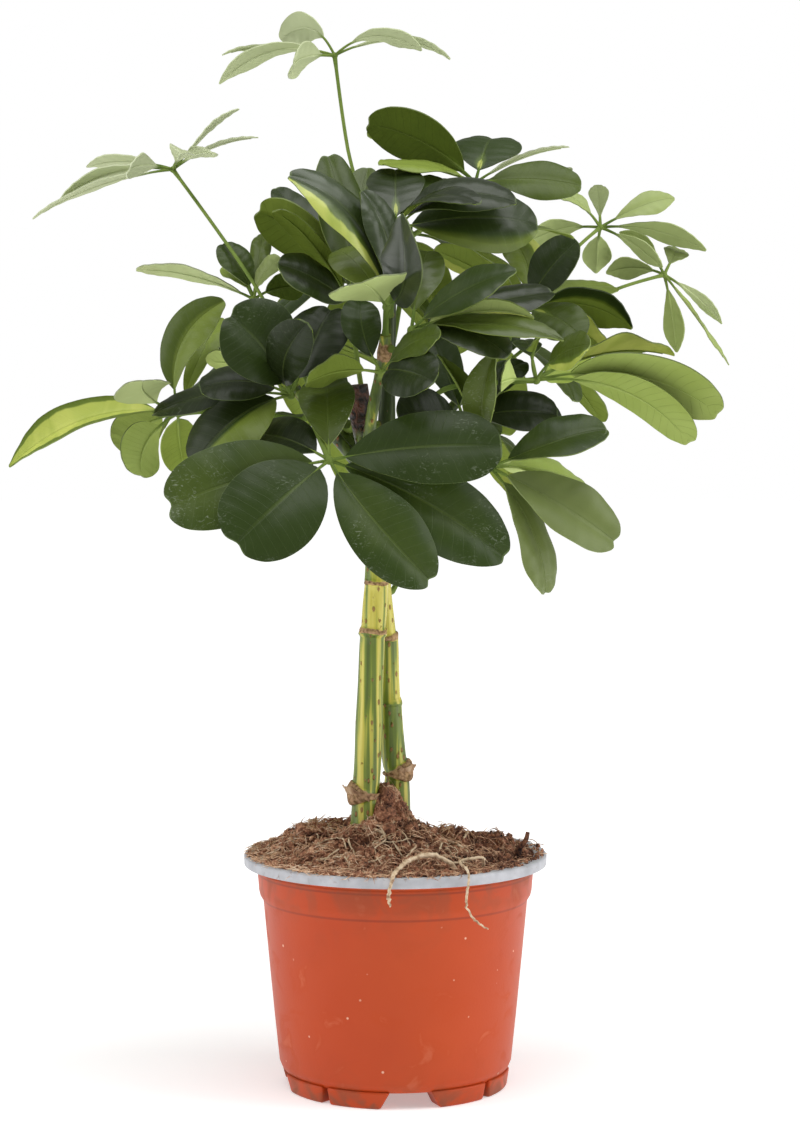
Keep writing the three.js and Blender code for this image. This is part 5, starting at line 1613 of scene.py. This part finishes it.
def cross_section(flat, place, half, character):
    """How far across and over a point goes, in millimetres, and the tilt of the blade there.

    Each half leaves the rib at its fold and then bends steadily, so it is an arc of a circle."""
    along = flat[:, 1]
    left = flat[:, 0] < 0
    narrow = 1 - character["point"] * np.clip((along - 0.5) / 0.5, 0, 1) ** 2
    narrow -= character["wedge"] * (1 - along) ** 2
    reach = np.abs(flat[:, 0]) * narrow * character["slim"]
    folds = np.where(left, *character["folds"])
    bends = np.where(left, *character["bends"]) * (0.7 + 0.6 * along)
    bends = np.where(np.abs(bends) < 0.01, 0.01, bends)
    tilt = folds + bends * reach
    across = half * (np.sin(tilt) - np.sin(folds)) / bends
    over = half * (np.cos(folds) - np.cos(tilt)) / bends
    phase = np.where(left, character["phase"], character["other_phase"])
    over += character["wave"] * reach ** 2 * np.sin(place * character["waves"] * 2 * math.pi + phase)
    over += PUCKER * 4 * reach * (1 - reach) * np.sin(place * PUCKERS * 2 * math.pi - reach * 5)
    over += half * character["twist"] * flat[:, 0] * (place - 0.4)
    over -= character["curl"] * np.clip((place - CURL_START) / (1 - CURL_START), 0, 1) ** 2
    return np.where(left, -across, across), over, np.where(left, -tilt, tilt)


def bent(flat, hub, tip, row, character, thickness):
    """Carries points from the flat map (x across, y along, z over) to the leaflet's place."""
    place, centre, forward, across, over = arched(flat[:, 1], hub, tip, row)
    x, height, tilt = cross_section(flat, place, row["width"] / 2, character)
    back = row["notch"] * np.exp(-((flat[:, 0] - character["notch_at"]) / NOTCH_WIDTH) ** 2)
    back *= np.clip(place * 5 - 4, 0, 1)
    lifted = (height + flat[:, 2] * thickness * np.cos(tilt))[:, None]
    shifted = (x - flat[:, 2] * thickness * np.sin(tilt))[:, None]
    return centre + across * shifted + over * lifted - forward * back[:, None]


WIDTH_SHARES = np.linspace(0, 1, 60)
WIDTHS = np.array([outline_width(min(CUT, share)) for share in WIDTH_SHARES])


def leaflet(hub, tip, row, tones, dust, gloss, own):
    """A blade and its rib at their place. own holds what is known of this leaflet's shape."""
    fold = rng.uniform(0.22, 0.5)
    bend = fold * rng.uniform(1.5, 2.3)
    character = {
        "folds": (fold, fold + rng.uniform(-0.1, 0.1)), "bends": (-bend, -bend - rng.uniform(-0.25, 0.25)),
        "twist": rng.uniform(-0.16, 0.16), "wave": rng.uniform(0.3, 1.1), "waves": rng.uniform(1.0, 2.4),
        "phase": rng.uniform(0, 2 * math.pi), "other_phase": rng.uniform(0, 2 * math.pi),
        "curl": rng.uniform(-0.5, 2.4), "notch_at": rng.uniform(-0.08, 0.08),
        "point": rng.uniform(0, 0.25), "wedge": rng.uniform(-0.15, 0.1),
        "halves": (0, 0), "halves_from": 0, "bloom": 0, "slim": 1,
    }
    character.update(own)
    made = copy_of(blade)
    move_to(made, in_frame(bent(flat_places_of_blade, hub, tip, row, character, BLADE_THICKNESS)))
    made_rib = copy_of(rib)
    length = (tip - hub).length
    first = -row["stalk"] / (length - row["stalk"])
    share = first + (RIB_END - first) * flat_places_of_rib[:, 1]
    thin = np.interp(share, [first, 0, 0.25, RIB_END], [STALK_RADIUS, 0.75 * STALK_RADIUS, 0.6, 0.22])
    line = np.stack([np.zeros_like(share), share, np.zeros_like(share)], axis=1)
    places = bent(line, hub, tip, row, character, 0)
    along, up, _ = (np.array(way) for way in leaflet_frame(hub, tip, row["face"]))
    across = np.cross(along, up)
    shift = up * (flat_places_of_rib[:, 2:] * thin[:, None] * 0.85 - np.clip(share[:, None], 0, 0.1) * 3.4)
    move_to(made_rib, in_frame(places + across * (flat_places_of_rib[:, :1] * thin[:, None]) + shift))
    add_mark(made_rib, "on_blade", np.clip(share * 6, 0, 1))
    for piece, flat in ((made, flat_places_of_blade), (made_rib, line)):
        reach = np.abs(flat[:, 0]) / np.maximum(NARROWEST, np.interp(flat[:, 1], WIDTH_SHARES, WIDTHS))
        begin = character["halves_from"]
        outer = np.clip((reach - begin) * 8 + 0.5, 0, 1) if begin else 1
        lighter = np.where(flat[:, 0] < 0, *character["halves"]) * outer
        marks = {
            "tone_above": tones[0] + lighter, "tone_below": tones[1] + lighter, "yellow": row["yellow"],
            "core": row["core"], "dust": dust, "bloom": character["bloom"], "gloss": gloss,
        }
        for name, values in marks.items():
            add_mark(piece, name, values)
    return [made, made_rib]

# %% [markdown]
# ## A whole leaf
# A leaf's stalk leaves its stem a little thickened, passes its places and ends in the hub, a small knob that
# the leaflets meet in. Stalk, hub, ribs and blades are then joined, and the leaf stands for its solid.

# %% The leaf stalks
SEAT = 0.45
STALK_SUNK = 1.2
STALK_STEPS, STALK_SIDES = 7, 12
PETIOLE, YOUNG_PETIOLE = 1.15, 0.8
KNOB, YOUNG_KNOB = 1.9, 1.5


def stalk_route(leaf, hub):
    """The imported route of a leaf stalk, begun a little inside its stem."""
    rows = STEMS[leaf["stem"]]
    centres = [seen(x, z, depth) for x, z, depth, radius in rows]
    share = leaf["at"] * (len(rows) - 1)
    index = min(int(share), len(rows) - 2)
    start = centres[index].lerp(centres[index + 1], share - index)
    radius = rows[index][3] + (rows[index + 1][3] - rows[index][3]) * (share - index)
    along = (centres[index + 1] - centres[index]).normalized()
    places = [seen(*place) for place in leaf.get("via", [])]
    out = (places[0] if places else hub) - start
    way = (out - along * out.dot(along)).normalized() if leaf["at"] < 1 else along
    first = start + way * ((radius if leaf["at"] < 1 else 0) + SEAT)
    return [first - way * STALK_SUNK, first, first + way * 3, *places, hub]


def leaf_stalk(leaf, hub):
    line = smooth_line(stalk_route(leaf, hub), STALK_STEPS)
    gone = np.concatenate([[0], np.cumsum(np.linalg.norm(np.diff(line, axis=0), axis=1))])
    left = gone[-1] - gone
    thickness = YOUNG_PETIOLE if leaf["name"] in YOUNG_LEAVES else PETIOLE
    radii = thickness + 0.9 * np.exp(-gone / 2.5) + 0.35 * np.exp(-left / 2.0)
    return tube("petiole", line, radii, STALK_SIDES, stalk, bark=np.exp(-gone / 1.2))


def knob(leaf, hub):
    """The knob in which the leaflets meet."""
    radius = (YOUNG_KNOB if leaf["name"] in YOUNG_LEAVES else KNOB) * MM
    bpy.ops.mesh.primitive_uv_sphere_add(segments=14, ring_count=8, radius=radius, location=in_frame(hub))
    piece = bpy.context.object
    bpy.ops.object.transform_apply(location=True, rotation=True, scale=True)
    piece.data.uv_layers[0].name = "surface"
    piece.data.materials.append(stalk.material)
    bpy.ops.object.shade_smooth()
    return piece

# %% Build every leaf
USUAL_DUST, USUAL_GLOSS = 0.15, 0.1


def tones_of(leaf, row):
    """How light the upper and the lower face are. The face that we see has the row's tone, which for leaflets
    deep in the crown is darkened with painted shade.
    """
    young = leaf["name"] in YOUNG_LEAVES
    above, below = (0.62, 0.8) if young else (0.22, 0.66)
    return (row["tone"], below) if row["face"] >= 0 else (above, row["tone"])


worst = 0
for leaf in [*LEAVES, *FAR_LEAVES]:
    name = leaf["name"]
    hub = seen(*leaf["hub"])
    rows = planned(leaf, hub) if "leaflets" in leaf else far_planned(leaf, hub)
    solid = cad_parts[name].data
    points = KDTree(len(solid.vertices))
    for vertex in solid.vertices:
        points.insert(vertex.co, vertex.index)
    points.balance()
    parts = []
    for order, row in enumerate(rows):
        tip, miss = packed_tip(hub, row, points)
        worst = max(worst, miss)
        own = dict(YOUNG_SHAPE, bloom=YOUNG_LEAVES[name]) if name in YOUNG_LEAVES else {}
        own.update(OWN_SHAPES.get(name, {}).get(order, {}))
        dust, gloss = DUSTY_LEAVES.get(name, USUAL_DUST), GLOSSY_LEAVES.get(name, USUAL_GLOSS)
        parts += leaflet(hub, tip, row, tones_of(leaf, row), dust, gloss, own)
    parts += [leaf_stalk(leaf, hub), knob(leaf, hub)]
    dress(joined(f"{name}_whorl", parts), "leaf_young" if name in YOUNG_LEAVES else "leaf", name)
print("the worst fit of a blade's end to its packed leaf, in mm:", round(worst, 3))
for spare in (blade, rib):
    bpy.data.objects.remove(spare)
